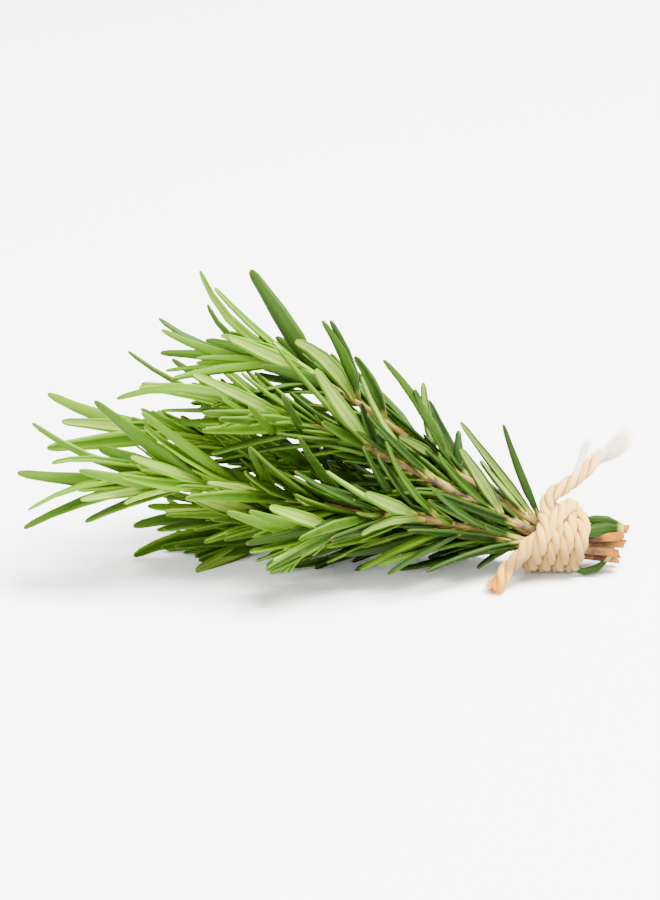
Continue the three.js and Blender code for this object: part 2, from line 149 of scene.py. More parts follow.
# A sprig has its values of the part's source: its seat in the tie, how far its cut end lies from it, its
# tip and lift, where its pairs of leaves begin and how many they are, their turn and seed, and the leaves
# that are placed one by one: the share of the stem that they grow at, their tip, and the degrees by which
# they lean over. These are for the looks:
# - shade darkens its green as painted shade, where the sprig lies low or deep in the bunch, and roll is
#   the share of its leaves whose margins are rolled under.
# - bare is how far along its stem can be seen, and bark is 0 for tan and 1 for purple-brown.
# - fill is how many young leaves stand between two pairs, and close and small scale the spread and the
#   length of all its young leaves.
# - ends is how many times as far from the tie its cut end lies as the solid's.
# - changed has the leaves that differ from the solids', by their number: how far their tip is moved, how
#   far they bow across and up, which share of the stem they grow at, how many times as wide they are,
#   whether their upper side faces the front, 1, or the back, -1, how far their margins are rolled, which
#   also keeps them from twisting, and how old they look.
# - extra has further leaves, placed one by one, whose numbers are -1, -2 and so on.
SPRIGS = [
    {
        "name": "sprig_top", "seat": 0, "cut": 17.5, "tip": (-9, 4, 55.5), "lift": 2, "first": 0.06,
        "pairs": 6, "turn": 180, "seed": 11, "shade": 0.0, "roll": 0.35, "bare": 0.85, "fill": 2, "bark": 0.1,
        "close": 0.55,
        "leaves": [
            (0.97, -29.5, -3, 81, 20), (0.93, -26.5, 5, 74), (0.98, -28.5, 10, 68), (0.88, -18, 16, 75, -50),
            (0.98, -40, 8, 62, 20), (0.99, -41, 14, 63), (0.98, -41, 16, 53), (0.97, -29.5, 17, 56),
            (0.9, -22.5, -9, 66), (0.98, -31, -2, 58), (0.98, -37, -6, 54), (0.86, -27, -12, 49),
            (0.74, -6.5, -9, 65, 15), (0.72, 1, 10, 63.5), (0.62, 8, -2, 58.5, 50), (0.42, 15, -2, 57.5),
            (0.42, 25.5, 12, 46.5), (0.41, 19, -6, 39), (0.33, 34.5, 8, 35), (0.03, 34.5, 2, 39.5, 60),
            (0.02, 45.5, 8, 36), (0.07, 39.5, -1, 30.5), (-0.93, 68.8, -1.5, 15, 90),
            (-0.85, 68.8, -4.2, 13.6, 70),
        ],
        "changed": {
            0: {"bow": (-5, -5), "wide": 0.92, "roll": 0.7}, 1: {"wide": 1.2, "roll": 0.8},
            2: {"bow": (-4.9, -4.3), "wide": 0.75, **DARK}, 3: {"bow": (0.6, 0), "wide": 1.5, **DARK},
            4: {"bow": (0, -6.5), "wide": 0.95, **BRIGHT}, 5: {"bow": (-3, -7), "wide": 0.9, **DARK},
            6: {"bow": (0, -0.8), "wide": 1.4, **DARK}, 7: {"wide": 1.3, **DARK}, 8: {"wide": 1.15},
            9: {"wide": 0.7, **BRIGHT}, 10: {"wide": 0.85, **BRIGHT}, 11: DARK,
            12: {"bow": (2.5, 3.8), "wide": 1.35},
            13: {"tip": (1, 0, 0.3), "bow": (3, 1.5), "front": 1, "wide": 0.75, **DARK},
            14: {"bow": (2.5, 1), "roll": 0.9, "tone": 0.6},
            15: {"tip": (0, 0, 0.2), "root": 0.36, "bow": (3.8, 2.6), "wide": 0.8, **BRIGHT},
            16: {"front": -1, "wide": 0.85, "roll": 0.5}, 18: {"front": 1, "wide": 1.3, **DARK},
            19: {"tip": (0, 0, 0.3), "bow": (0.4, 0.3), "front": -1, "wide": 0.8, "roll": 0.35},
            20: {"tip": (0.2, 0, 0.8), "root": 0.006, "bow": (1, 0.4), "front": 1, "wide": 0.68, **DARK},
            21: {"bow": (0, 1), "wide": 0.95},
            22: {"tip": (-5, 0.5, -1.8), "bow": (0, 1.6), "front": 1, "wide": 1.5, **DARK},
            23: {"tip": (-6, -0.6, -1.8), "root": -0.93, "bow": (0, 1), "front": 1, "wide": 1.9, "tone": 0.8},
            26: {"tip": (-3, 0, -3.5), "bow": (-1, -1)}, 30: {"tip": (1.6, 0, -2.3)},
            -4: {"bow": (3, 1.5), "front": 1, "wide": 0.8}, -5: {"front": 1, **DARK},
        },
        "extra": [(0.72, -17, 6, 51), (0.78, -14, 9, 48.5), (0.3, 27.8, 2, 38), (0.72, 0, 8, 64.4),
                  (0.8, -15, -4, 56.6), (0.95, -39, 4, 52.5), (0.95, -31.5, 6, 53.9)],
    },
    {
        "name": "sprig_upper_front", "seat": 1, "cut": 13, "tip": (-14.5, -8, 45.5), "lift": 4,
        "first": 0.05, "pairs": 12, "seed": 23, "shade": 0.1, "roll": 0.62, "bare": 0.6, "fill": 3,
        "bark": 1, "ends": 1.2,
        "leaves": [
            (0.98, -44, -16, 55.5), (0.99, -50, -9, 50), (0.98, -48, 2, 59), (0.62, -1.5, -15, 60, 50),
            (0.6, 9.5, -8, 48.5, 60), (0.15, 34, -9, 37, 55), (0.85, -29, -16, 44.5, -50),
            (0.4, 12, -12, 48.5),
        ],
        "changed": {
            0: {"tip": (1.1, 0, 0.5), "bow": (0, 5), "wide": 1.4, "roll": 0.3},
            1: {"tip": (0, 0, 3), "bow": (0, 8.5), "wide": 1.2},
            2: {"tip": (0.7, 0, 2.7), "bow": (-1.5, -3), "wide": 0.6, **DARK}, 3: {"wide": 1.2, **PALE},
            4: DARK, 5: {"wide": 1.15, **PALE}, 7: {"wide": 0.8, **DARK}, 8: {"wide": 0.8, **DARK}, 15: DARK,
            18: {"tip": (0, 12, -4.9), **DARK}, 19: DARK, 21: {"tip": (0, 14, -5.7), **DARK}, 23: DARK,
            24: {"tip": (0, 14, -5.7), **DARK}, 26: DARK,
        },
    },
    {
        "name": "sprig_front", "seat": 3, "cut": 16, "tip": (-39, -10, 29.5), "lift": 1, "first": 0.04,
        "pairs": 10, "seed": 37, "shade": 0.0, "roll": 0.7, "bare": 0.55, "fill": 3, "bark": 0.6,
        "leaves": [
            (0.9, -55, -13, 51, -75), (0.99, -75.5, -8, 30.5), (0.87, -59, -19, 35, -60), (0.98, -72, -2, 41),
            (0.99, -72.5, -14, 22.5), (0.98, -74.5, -6, 14), (0.93, -59, -19, 27.5, -70),
            (0.92, -58.5, -12, 18.5), (0.88, -46.5, -17, 38), (0.79, -44, -14, 49, 40), (0.95, -64, 0, 29),
            (0.34, 10, -14, 39.5), (0.28, 13.5, -16, 38),
        ],
        "changed": {
            0: {"tip": (0.9, 0, 1.2), "wide": 1.3, **DARK},
            1: {"tip": (0, 0, -0.4), "bow": (0, -4), "wide": 1.4},
            2: {"tip": (0, 0, 0.3), "wide": 1.15, **BRIGHT}, 3: {"bow": (0, -4.5), "roll": 0.9},
            4: {"bow": (-1, 4.6), "wide": 1.6, "tone": 0},
            5: {"tip": (-0.4, 0, 0.1), "bow": (0, 2.4), "wide": 1.5, **DARK},
            7: {"tip": (-0.3, 0, 0), "bow": (0, 0.4), "wide": 1.8, **DARK}, 8: {"roll": 0.5},
            9: {"tip": (1, 0, 1), "front": 1, "wide": 0.85, "roll": 0.8, "tone": 0.5},
            10: {"tip": (8.1, 0, 4.5), "wide": 1.3, **DARK}, 11: {"wide": 1.2, **DARK},
            12: {"wide": 1.2, **DARK}, 24: DARK, 32: {"tip": (-7, 0, -6.4), "bow": (-5.4, 7.5), "wide": 0.8},
        },
    },
    {
        "name": "sprig_near", "seat": 2, "cut": 14.5, "tip": (-1, -17, 16.5), "lift": 6.5, "first": 0.02,
        "pairs": 8, "seed": 41, "shade": 0.1, "roll": 0.68, "bare": 0.5, "fill": 3, "bark": 0.5,
        "leaves": [
            (0.99, -23, -24, 26.5, 30), (0.97, -17.5, -27, 28), (0.93, -12.5, -29, 30, 40),
            (0.57, 10.5, -28, 33, 30), (0.4, 28.5, -13, 20.5), (0.38, 9.5, -14, 6.5), (0.75, -14, -11, 6),
            (0.1, 26, -14, 24), (0.14, 21, -16, 18), (0.08, 35, -9, 7.5), (0.1, 39, -5, 3),
            (-0.95, 67, -4.5, 1.5),
        ],
        "changed": {
            0: BRIGHT, 1: {"wide": 0.9, **BRIGHT}, 2: {"wide": 1.2, **PALE}, 3: {"wide": 1.1, **PALE},
            7: {"wide": 0.8, **DARK}, 9: {"wide": 1.3}, 10: {"wide": 1.3},
            11: {"tip": (-6, 0, 2.6), "bow": (1, -8), "front": 1, **DARK}, 15: {"wide": 0.8, **DARK},
            16: {"tip": (0.8, 0, 4.2)}, 20: DARK, 21: DARK, 22: DARK, 23: DARK, 24: DARK,
            26: {"tip": (2.7, 0, 3.4)},
        },
    },
    {
        "name": "sprig_lower", "seat": 4, "cut": 17, "tip": (-16, -2, 16), "lift": 0, "first": 0.03,
        "pairs": 11, "seed": 53, "shade": 0.35, "roll": 0.75, "bare": 0.3, "fill": 4, "bark": 0.6,
        "leaves": [
            (0.98, -39.5, -6, 19), (0.97, -48.5, 6, 9.5), (0.97, -32, -13, 27.5), (0.88, -17.5, -14, 39),
            (0.62, -5.5, -16, 43.5), (0.95, -40, -3, 12.5),
        ],
        "changed": {
            1: {"bow": (0, 2), "wide": 1.6, **DARK}, 2: {"wide": 1.5, **PALE},
            3: {"tip": (-0.4, -10, -0.4), "front": 1, "wide": 0.8, "roll": 0.8, "tone": 0.7},
            4: {"tip": (5.9, -10, 0.7), "front": 1, "wide": 0.85, "roll": 0.8, "tone": 0.7},
            5: {"wide": 1.4}, 8: {"tip": (0, 0, 1)}, 13: {"tip": (0, 0, 5)}, 21: {"tip": (4, 0, 1.6)},
        },
        "extra": [(0.98, -44, -2, 18.5), (0.96, -41, 2, 21.5), (0.95, -42, 0, 11), (0.55, -13.5, -8, 29.1)],
    },
    {
        "name": "sprig_bottom", "seat": 5, "cut": 12.5, "tip": (-21.5, 11, 3.5), "lift": 0, "first": 0.03,
        "pairs": 11, "seed": 67, "shade": 0.5, "roll": 0.85, "bare": 0, "fill": 4, "bark": 0.4,
        "ends": 1.15,
        "leaves": [
            (0.98, -48.5, 5, 1.5), (0.9, -32.5, -2, 0.2), (0.8, -37.5, 0, 6.5), (0.95, -41, 11, 1),
            (0.97, -37, 20, 0.2), (0.45, -2, -1, 0.2), (0.6, -13, 0, 0.5),
        ],
        "changed": {
            0: {"bow": (0, 6), "wide": 1.6}, 1: {"tip": (0.3, 0, -0.3), "wide": 1.4}, 3: {"wide": 1.3},
            22: {"tip": (0, 0, 1.5)}, 28: {"tip": (3, 0, 3.5)}, -1: {"wide": 1.3, **DARK},
            -2: {"wide": 1.2, **DARK},
        },
        "extra": [(0.88, -32.6, 2, 2.9), (0.86, -31.6, 0, 2.6)],
    },
    {
        "name": "sprig_centre", "seat": None, "cut": 17.5, "tip": (-37, 8, 35), "lift": 0.5, "first": 0.05,
        "pairs": 12, "seed": 71, "shade": 0.2, "roll": 0.85, "bare": 0.3, "fill": 5, "bark": 0.3,
        "close": 0.6, "small": 0.7,
        "leaves": [
            (0.98, -66, 9, 37, 60), (0.99, -69, 1, 33, -55), (0.98, -70, 16, 42), (0.85, -42, 14, 38),
            (0.62, -17.5, -4, 46), (0.57, -9.5, -2, 48),
        ],
        "changed": {
            0: {"wide": 1.3, "front": -1, "roll": 0.3}, 1: {"wide": 1.5, "tone": 0},
            2: {"bow": (0, -4), "wide": 1.2, "tone": 0},
            4: {"tip": (0, -16, 6.5), "front": 1, "wide": 0.8, "roll": 0.8, "tone": 0.5},
            5: {"tip": (0, -16, 6.5), "front": 1, "wide": 0.8, **DARK}, 23: {"tip": (6, 0, -4)},
            25: {"tip": (4.3, 0, -5.5)}, 26: {"tip": (3, 0, -2)}, 28: {"tip": (10.2, 0, -8.7)},
        },
        "extra": [(0.66, -27, 0, 26.5), (0.72, -30, 6, 27), (0.6, -24, 3, 28), (0.75, -26, -4, 31.3)],
    },
    {
        "name": "sprig_back", "seat": 6, "cut": 15.5, "tip": (-22.5, 22, 38.5), "lift": 2, "first": 0.06,
        "pairs": 11, "seed": 83, "shade": 0.3, "roll": 0.85, "bare": 0, "fill": 5, "bark": 0.5,
        "close": 0.75, "small": 0.7, "leaves": [], "changed": {},
    },
]


def norm(vector):
    """A vector, or each of several, at unit length."""
    return vector / np.linalg.norm(vector, axis=-1, keepdims=True)


def square_to(vector, axis):
    """The part of a vector that is square to a unit axis, at unit length."""
    return norm(vector - axis * (vector * axis).sum(-1, keepdims=True))


def smooth(value, low, high):
    """A smooth step from 0 at low to 1 at high."""
    share = np.clip((value - low) / (high - low), 0, 1)
    return share * share * (3 - 2 * share)


def placed(points):
    """From the plan's millimetres to the frame's metres."""
    return (np.asarray(points) - REST_POINT) * MM


TIE_AXIS = np.array([-math.cos(TIE["rise"]), 0, math.sin(TIE["rise"])])
TIE_ACROSS = np.array([0.0, -1, 0])
TIE_UP = np.array([math.sin(TIE["rise"]), 0, math.cos(TIE["rise"])])
UPRIGHT = np.array([0.0, 0, 1])
# The side that the bunch shows best.
FRONT = np.array([0.0, -0.93, 0.37])


class Stem:
    """A stem by its share: 0 to 1 from the tie to the leafy tip, 0 to -1 to the cut end."""

    def __init__(self, sprig):
        self.cut = sprig["cut"]
        self.lift = sprig["lift"]
        if sprig["seat"] is None:
            self.seat = np.zeros(3)
        else:
            angle = math.radians(90 - sprig["seat"] * 360 / STEM["seats"])
            self.seat = STEM["seat_ring"] * (TIE_ACROSS * math.cos(angle) + TIE_UP * math.sin(angle))
        self.exit = TIE["centre"] + self.seat + TIE_AXIS * STEM["leave_tie"]
        reach = np.array(sprig["tip"], float) - self.exit
        self.run = reach.dot(TIE_AXIS)
        self.swing = reach - TIE_AXIS * self.run

    def point(self, share):
        if share < 0:
            bend = share * share
            return (
                TIE["centre"] + self.seat * (1 + STEM["splay"] * bend) + TIE_AXIS * self.cut * share
                + UPRIGHT * STEM["cut_rise"] * bend
            )
        arch = self.lift * math.sin(math.pi * share ** STEM["lift_late"])
        return self.exit + TIE_AXIS * self.run * share + self.swing * share ** STEM["swing"] + UPRIGHT * arch

    def towards(self, share):
        return norm(self.point(share + STEM["nearby"]) - self.point(share - STEM["nearby"]))

    def radius(self, share):
        return STEM["tie_radius"] + (STEM["tip_radius"] - STEM["tie_radius"]) * max(0, share)


DRAWS = {"times": 1664525, "plus": 1013904223, "range": 2 ** 32}


def draws(seed):
    """A small seeded generator of numbers from 0 to 1, the same as the solids' own."""
    state = seed
    while True:
        state = (state * DRAWS["times"] + DRAWS["plus"]) % DRAWS["range"]
        yield state / DRAWS["range"]


def leaf_of(root, tip, facing):
    """One leaf, or several that share a root: a curve of three points and its upper side."""
    run = tip - root
    length = np.linalg.norm(run, axis=-1, keepdims=True)
    forward = run / length
    up = square_to(facing, forward)
    side = np.cross(up, forward)
    scale = np.clip(length / LEAF["full_from"], LEAF["smallest"], 1)
    lowest = (
        abs(side[..., 2:]) * LEAF["half_width"] * scale + abs(up[..., 2:]) * LEAF["half_thickness"]
        - CLEARANCE["floor_sink"]
    )

    def settled(point):
        table = lowest + CLEARANCE["near_rise"] * np.maximum(0, CLEARANCE["near_from"] - point[..., 1:2])
        return np.concatenate([point[..., :2], np.maximum(point[..., 2:], table)], axis=-1)

    middle = (root + tip) / 2 + up * LEAF["bow"] * length
    return {"root": root, "middle": settled(middle), "tip": settled(tip), "up": up, "scale": scale}


def leaf_corners(leaves, share, wide, deep):
    """The corners of a leaf's section, or of several leaves' sections."""
    rest = 1 - share
    at = leaves["root"] * rest * rest + leaves["middle"] * 2 * rest * share + leaves["tip"] * share * share
    forward = norm(
        (leaves["middle"] - leaves["root"]) * rest + (leaves["tip"] - leaves["middle"]) * share
    )
    up = square_to(leaves["up"], forward)
    side = np.cross(up, forward)
    return [
        at + side * x * wide * LEAF["half_width"] * leaves["scale"] + up * y * deep * LEAF["half_thickness"]
        for x, y in LEAF["outline"]
    ]


def leaf_candidates(leaf):
    """The ways in which a leaf may have been bent clear, from the least bent on."""
    run = leaf["tip"] - leaf["root"]
    length = np.linalg.norm(run)
    forward = run / length
    up = square_to(leaf["up"], forward)
    side = np.cross(up, forward)
    tips = []
    for shorter in CLEARANCE["shorter"]:
        for angle in CLEARANCE["angles"]:
            away = math.tan(math.radians(angle))
            for direction in range(CLEARANCE["directions"] if angle else 1):
                around = direction * math.tau / CLEARANCE["directions"]
                bent = norm(forward + side * away * math.cos(around) + up * away * math.sin(around))
                tips.append(leaf["root"] + bent * length * shorter)
    return leaf_of(leaf["root"], np.array(tips), leaf["up"])


def found_leaf(leaf, corners_there):
    """The leaf as the solids have it, or None where they have none."""
    candidates = leaf_candidates(leaf)
    for share, wide, deep in LEAF["rings"]:
        corners = [placed(corner) for corner in leaf_corners(candidates, share, wide, deep)]
        for number in range(len(candidates["tip"])):
            for corner in corners:
                distance = corners_there.find(corner[number])[2]
                if distance < CLEARANCE["same"] * MM:
                    found = {key: candidates[key][number] for key in ("middle", "tip", "up")}
                    return {"root": leaf["root"], "scale": candidates["scale"][number, 0], **found}
    return None


def facing_of(forward, along, degrees):
    """The upper side of a leaf, which faces along its stem unless it leans over by some degrees."""
    up = square_to(along, forward)
    lean = math.radians(degrees)
    return up * math.cos(lean) + np.cross(up, forward) * math.sin(lean)


def root_on(stem, share, outward):
    """A leaf's root, a little inside its stem's side."""
    return stem.point(share) + square_to(outward, stem.towards(share)) * LEAF["root_out"] * stem.radius(share)


def placed_leaves(sprig, stem, which="leaves"):
    """The leaves that are placed one by one, as (share, leaf)."""
    for share, x, y, z, *lean in sprig.get(which, []):
        tip = np.array([x, y, z], float)
        root = root_on(stem, share, tip - stem.point(share))
        facing = facing_of(norm(tip - root), stem.towards(share), lean[0] if lean else 0)
        yield share, leaf_of(root, tip, facing)


def pair_share(sprig, pair):
    """How far along the stem a pair grows. Half a pair less is between it and the one before."""
    grown = 1 - (1 - (pair + 0.5) / sprig["pairs"]) ** GROWTH["crowding"]
    return sprig["first"] + (1 - sprig["first"]) * grown


def round_stem(stem, share, angle):
    """A direction out from a stem, by its angle about it in radians."""
    along = stem.towards(share)
    across = square_to(TIE_UP, along)
    return across * math.cos(angle) + np.cross(across, along) * math.sin(angle)


def ruled_leaves(sprig, stem):
    """The leaves that grow by the rule, in pairs, as (share, leaf)."""
    random = draws(sprig["seed"])

    def jitter(most):
        return most * (2 * next(random) - 1)

    for pair in range(sprig["pairs"]):
        share = pair_share(sprig, pair)
        along = stem.towards(share)
        turn = GROWTH["first_turn"] + pair * sprig.get("turn", GROWTH["turn"])
        turn += jitter(GROWTH["turn_jitter"])
        arch = math.sin(math.pi * share)
        for half in (0, 180):
            outward = round_stem(stem, share, math.radians(turn + half))
            spread = math.radians(
                GROWTH["spread_at_ends"] + GROWTH["spread_more"] * arch + jitter(GROWTH["spread_jitter"])
            )
            full = GROWTH["shortest"] + (1 - GROWTH["shortest"]) * arch
            length = LEAF["length"] * full * (1 + jitter(GROWTH["length_jitter"]))
            roll = jitter(GROWTH["roll_jitter"])
            forward = along * math.cos(spread) + outward * math.sin(spread)
            root = root_on(stem, share, outward)
            yield share, leaf_of(root, root + forward * length, facing_of(forward, along, roll))


def grown_leaves(sprig, stem):
    """Every leaf of a sprig that the solids have, and the extra ones, as (share, leaf).

    A leaf that is placed one by one or changed is steady, so it isn't bent at random.
    """
    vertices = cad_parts[sprig["name"]].data.vertices
    corners = kdtree.KDTree(len(vertices))
    for vertex in vertices:
        corners.insert(vertex.co, vertex.index)
    corners.balance()
    grown = []
    leaves = [*placed_leaves(sprig, stem), *ruled_leaves(sprig, stem)]
    for number, (share, leaf) in enumerate(leaves):
        found = found_leaf(leaf, corners)
        if found:
            steady = number < len(sprig["leaves"]) or number in sprig["changed"]
            if not steady and share < sprig["bare"]:
                found = parted_leaf(found, stem.towards(share))
            changed = changed_leaf(found, stem, sprig["changed"].get(number, {}))
            grown.append((share, {**changed, "steady": steady}))
    for number, (share, leaf) in enumerate(placed_leaves(sprig, stem, "extra")):
        changed = changed_leaf(leaf, stem, sprig["changed"].get(-1 - number, {}))
        grown.append((share, {**changed, "scale": changed["scale"][0], "steady": True}))
    return grown


# How squarely a leaf stands before its stem to hide it, and how far it is swung aside then, in degrees.
PARTED_LEAF = {"hides": 0.3, "aside": 60}


def parted_leaf(leaf, along):
    """The leaf, swung aside round its stem where it would hide the stem from the front."""
    forward = norm(leaf["tip"] - leaf["root"])
    if forward.dot(square_to(FRONT, along)) < PARTED_LEAF["hides"]:
        return leaf
    side = np.cross(along, FRONT).dot(forward)
    angle = math.copysign(math.radians(PARTED_LEAF["aside"]), side)

    def swung(vector):
        about = along * along.dot(vector)
        return about + (vector - about) * math.cos(angle) + np.cross(along, vector) * math.sin(angle)

    turned = {key: leaf["root"] + swung(leaf[key] - leaf["root"]) for key in ("middle", "tip")}
    return {**leaf, **turned, "up": swung(leaf["up"])}


def changed_leaf(leaf, stem, change):
    """A leaf with its own look: another root, a moved tip, or a bow, width or tone of its own."""
    across, away, higher = change.get("tip", (0, 0, 0))
    bow_across, bow_higher = change.get("bow", (0, 0))
    tip = leaf["tip"] + np.array([across, away, higher])
    root = leaf["root"]
    if "root" in change:
        root = root_on(stem, change["root"], tip - stem.point(change["root"]))
    moved = (root - leaf["root"] + tip - leaf["tip"]) / 2
    middle = leaf["middle"] + moved + np.array([bow_across, 0, bow_higher])
    up = square_to(leaf["up"], norm(tip - root))
    if "front" in change:
        up = FRONT * change["front"]
    scale = leaf["scale"] * change.get("wide", 1)
    looks = {key: change[key] for key in ("roll", "tone") if key in change}
    return {"root": root, "middle": middle, "tip": tip, "up": up, "scale": scale, **looks}


# ---------------------------------------------------------------- settings


def paint(code):
    """A linear colour from six hexadecimal digits."""
    parts = [int(code[i:i + 2], 16) / 255 for i in (0, 2, 4)]
    return tuple(c / 12.92 if c <= 0.04045 else ((c + 0.055) / 1.055) ** 2.4 for c in parts)


def colour_setting(name, description, code):
    return bpy.props.FloatVectorProperty(
        name=name, description=description, subtype="COLOR", min=0, max=1, default=paint(code)
    )


def length_setting(name, description, millimetres):
    return bpy.props.FloatProperty(
        name=name, description=description, default=millimetres * MM, min=0, precision=5, unit="LENGTH",
        subtype="DISTANCE",
    )


def share_setting(name, description, value):
    return bpy.props.FloatProperty(
        name=name, description=description, default=value, min=0, max=1, subtype="FACTOR"
    )


class LeafSettings(bpy.types.PropertyGroup):
    """The rosemary leaves."""

    half_width: length_setting("Half width", "Half of a full leaf's width", 1.55)
    half_thickness: length_setting("Half thickness", "Half of a leaf's thickness at its crests", 0.62)
    # The old colours are partly painted shade, for the leaves deep in the bunch near the tie.
    young: colour_setting("Young green", "Upper side of the leaves near a tip", "385a09")
    old: colour_setting("Old green", "Upper side of the leaves near the tie", "172809")
    margin: colour_setting("Margin", "Thin edge where light comes through", "668f12")
    old_margin: colour_setting("Old margin", "Leaf margins near the tie", "3a5a16")
    felt: colour_setting("Felt", "Pale down between the margins underneath", "8ba43c")
    old_felt: colour_setting("Old felt", "The same down on the leaves near the tie", "728c36")
    # Deep green is painted shade: it darkens sprigs low or deep in the bunch and every leaf near its root.
    deep: colour_setting("Deep green", "Shaded leaves, and every leaf near its root", "0c1903")
    base: colour_setting("Leaf base", "Root of the leaves near the tie", "a69f45")
    dry: colour_setting("Dry tip", "Tip of a leaf that has dried", "5a4322")
    twist: bpy.props.FloatProperty(
        name="Twist", description="Most that a leaf turns about its own length", default=math.radians(24),
        unit="ROTATION", subtype="ANGLE",
    )
    sway: length_setting("Sway", "Most that a leaf swings to one side", 1.1)
    bend: length_setting("Bend", "Most that a leaf bows more or less than the solid's", 1.8)
    gloss: share_setting("Gloss", "Waxy coat on the upper side", 0.04)


class StemSettings(bpy.types.PropertyGroup):
    """The woody stems."""

    tan: colour_setting("Tan bark", "Young bark and the swellings at the leaves", "977c3f")
    purple: colour_setting("Purple bark", "Bark between the swellings", "392826")
    wood: colour_setting("Old bark", "Bark near the cut ends, and patches on the cuts", "502810")
    green: colour_setting("Shoot", "Soft tip of a stem", "55661a")
    cut: colour_setting("Cut wood", "Fresh wood of the cut ends", "9a5a0c")
    cracks: colour_setting("Cracks", "Cracks in the bark, and old purple bark", "2e1c12")
    swelling: share_setting("Swelling", "How much a stem swells where leaves grow, as a share of it", 0.2)


class TwineSettings(bpy.types.PropertyGroup):
    """The cotton twine."""

    strand_radius: length_setting("Strand radius", "Radius of each of the three strands", 1.06)
    strand_offset: length_setting("Strand offset", "How far a strand lies from the twine's middle", 0.94)
    light: colour_setting("Cotton", "Clean cotton", "e4b456")
    loose: colour_setting("Loose cotton", "Fibres that stand apart", "fff2dc")
    shade: colour_setting("Cotton shade", "Between the fibres and between the strands", "4c3620")
    tip: colour_setting("Singed end", "Cut end of the lower tail", "d08c02")
    fibre_radius: length_setting("Fibre radius", "Radius of a loose fibre", 0.035)


class StageSettings(bpy.types.PropertyGroup):
    """The floor, the lights and the camera."""

    floor: colour_setting("Floor", "Plain pale floor", "f7f7f5")
    lens: bpy.props.FloatProperty(
        name="Lens", description="Focal length on a 36 mm sensor", default=100, unit="CAMERA"
    )
    distance: length_setting("Distance", "From the camera to what it looks at", 625)
    elevation: bpy.props.FloatProperty(
        name="Elevation", description="How far the camera looks down", default=math.radians(22),
        unit="ROTATION", subtype="ANGLE",
    )
    look_at: bpy.props.FloatVectorProperty(
        name="Look at", description="Point in the middle of the view", subtype="XYZ", unit="LENGTH",
        default=(-0.0617, -0.0001, 0.0329), precision=4,
    )
    key: bpy.props.FloatProperty(name="Key light", description="Power", default=530, unit="POWER")
    fill: bpy.props.FloatProperty(name="Fill light", description="Power", default=95, unit="POWER")


# ---------------------------------------------------------------- node trees


class Nodes:
    """Adds nodes to a tree by short calls. An input is a plain value or another node's output."""

    def __init__(self, tree):
        self.tree = tree

    def add(self, kind, inputs=(), out=0, **settings):
        node = self.tree.nodes.new(kind)
        for name, value in settings.items():
            setattr(node, name, value)
        for key, value in dict(inputs).items():
            if isinstance(value, bpy.types.NodeSocket):
                self.tree.links.new(value, node.inputs[key])
            else:
                node.inputs[key].default_value = value
        return node.outputs[out]

    def group(self, tree, inputs):
        """A node group in a tree of its own kind."""
        return self.add(self.tree.bl_idname.replace("Tree", "Group"), inputs, node_tree=tree)

    def math(self, operation, *values, clamp=False):
        return self.add("ShaderNodeMath", enumerate(values), operation=operation, use_clamp=clamp)

    def vector(self, operation, *values, out=0):
        return self.add("ShaderNodeVectorMath", enumerate(values), out, operation=operation)

    def times(self, vector, scale):
        return self.add("ShaderNodeVectorMath", {0: vector, "Scale": scale}, operation="SCALE")

    def parts(self, vector):
        return self.add("ShaderNodeSeparateXYZ", {0: vector}).node.outputs

    def joined(self, x, y, z):
        return self.add("ShaderNodeCombineXYZ", enumerate((x, y, z)))

    def stretch(self, value, low, high, to_low=0.0, to_high=1.0):
        """A smooth step from one number at low to another at high."""
        settings = {"Value": value, "From Min": low, "From Max": high, "To Min": to_low, "To Max": to_high}
        return self.add("ShaderNodeMapRange", settings, interpolation_type="SMOOTHSTEP")

    def blend(self, share, first, second):
        """A colour between two. The sockets are those of a Mix node that is set to colours."""
        inputs = {0: share, 6: opaque(first), 7: opaque(second)}
        return self.add("ShaderNodeMix", inputs, 2, data_type="RGBA")

    def noise(self, vector, scale, detail, roughness=0.5):
        settings = {"Vector": vector, "Scale": scale, "Detail": detail, "Roughness": roughness}
        return self.add("ShaderNodeTexNoise", settings)

    def attribute(self, name, kind="FLOAT"):
        """A named attribute of the mesh, in a shader or in a geometry tree."""
        if self.tree.bl_idname == "GeometryNodeTree":
            return self.add("GeometryNodeInputNamedAttribute", {"Name": name}, data_type=kind)
        out = "Vector" if kind == "FLOAT_VECTOR" else "Fac"
        return self.add("ShaderNodeAttribute", out=out, attribute_name=name)


def opaque(colour):
    """A colour setting with its alpha, or a socket as it is."""
    return colour if isinstance(colour, bpy.types.NodeSocket) else (*colour[:3], 1)


def new_tree(name, kind, inputs, outputs):
    """An empty node group with the named sockets, and its input node's outputs by name."""
    tree = bpy.data.node_groups.new(name, kind)
    for label, socket_type in inputs:
        tree.interface.new_socket(name=label, in_out="INPUT", socket_type=socket_type)
    for label, socket_type in outputs:
        tree.interface.new_socket(name=label, in_out="OUTPUT", socket_type=socket_type)
    given = tree.nodes.new("NodeGroupInput").outputs
    result = tree.nodes.new("NodeGroupOutput").inputs
    return tree, Nodes(tree), given, result


def grown_piece(name, plan, tree, values):
    """Runs a geometry tree on a plan mesh. The result is a plain mesh piece."""
    carrier = bpy.data.objects.new(name + "_plan", plan)
    bpy.context.scene.collection.objects.link(carrier)
    modifier = carrier.modifiers.new("growth", "NODES")
    modifier.node_group = tree
    for item in tree.interface.items_tree:
        if item.item_type == "SOCKET" and item.in_out == "INPUT" and item.name in values:
            modifier[item.identifier] = values[item.name]
    evaluated = carrier.evaluated_get(bpy.context.evaluated_depsgraph_get())
    mesh = bpy.data.meshes.new_from_object(evaluated)
    bpy.data.objects.remove(carrier)
    if not mesh.polygons:
        raise RuntimeError(f"{name} came out empty")
    mesh.name = name
    mesh.shade_smooth()
    piece = bpy.data.objects.new(name, mesh)
    bpy.context.scene.collection.objects.link(piece)
    return piece


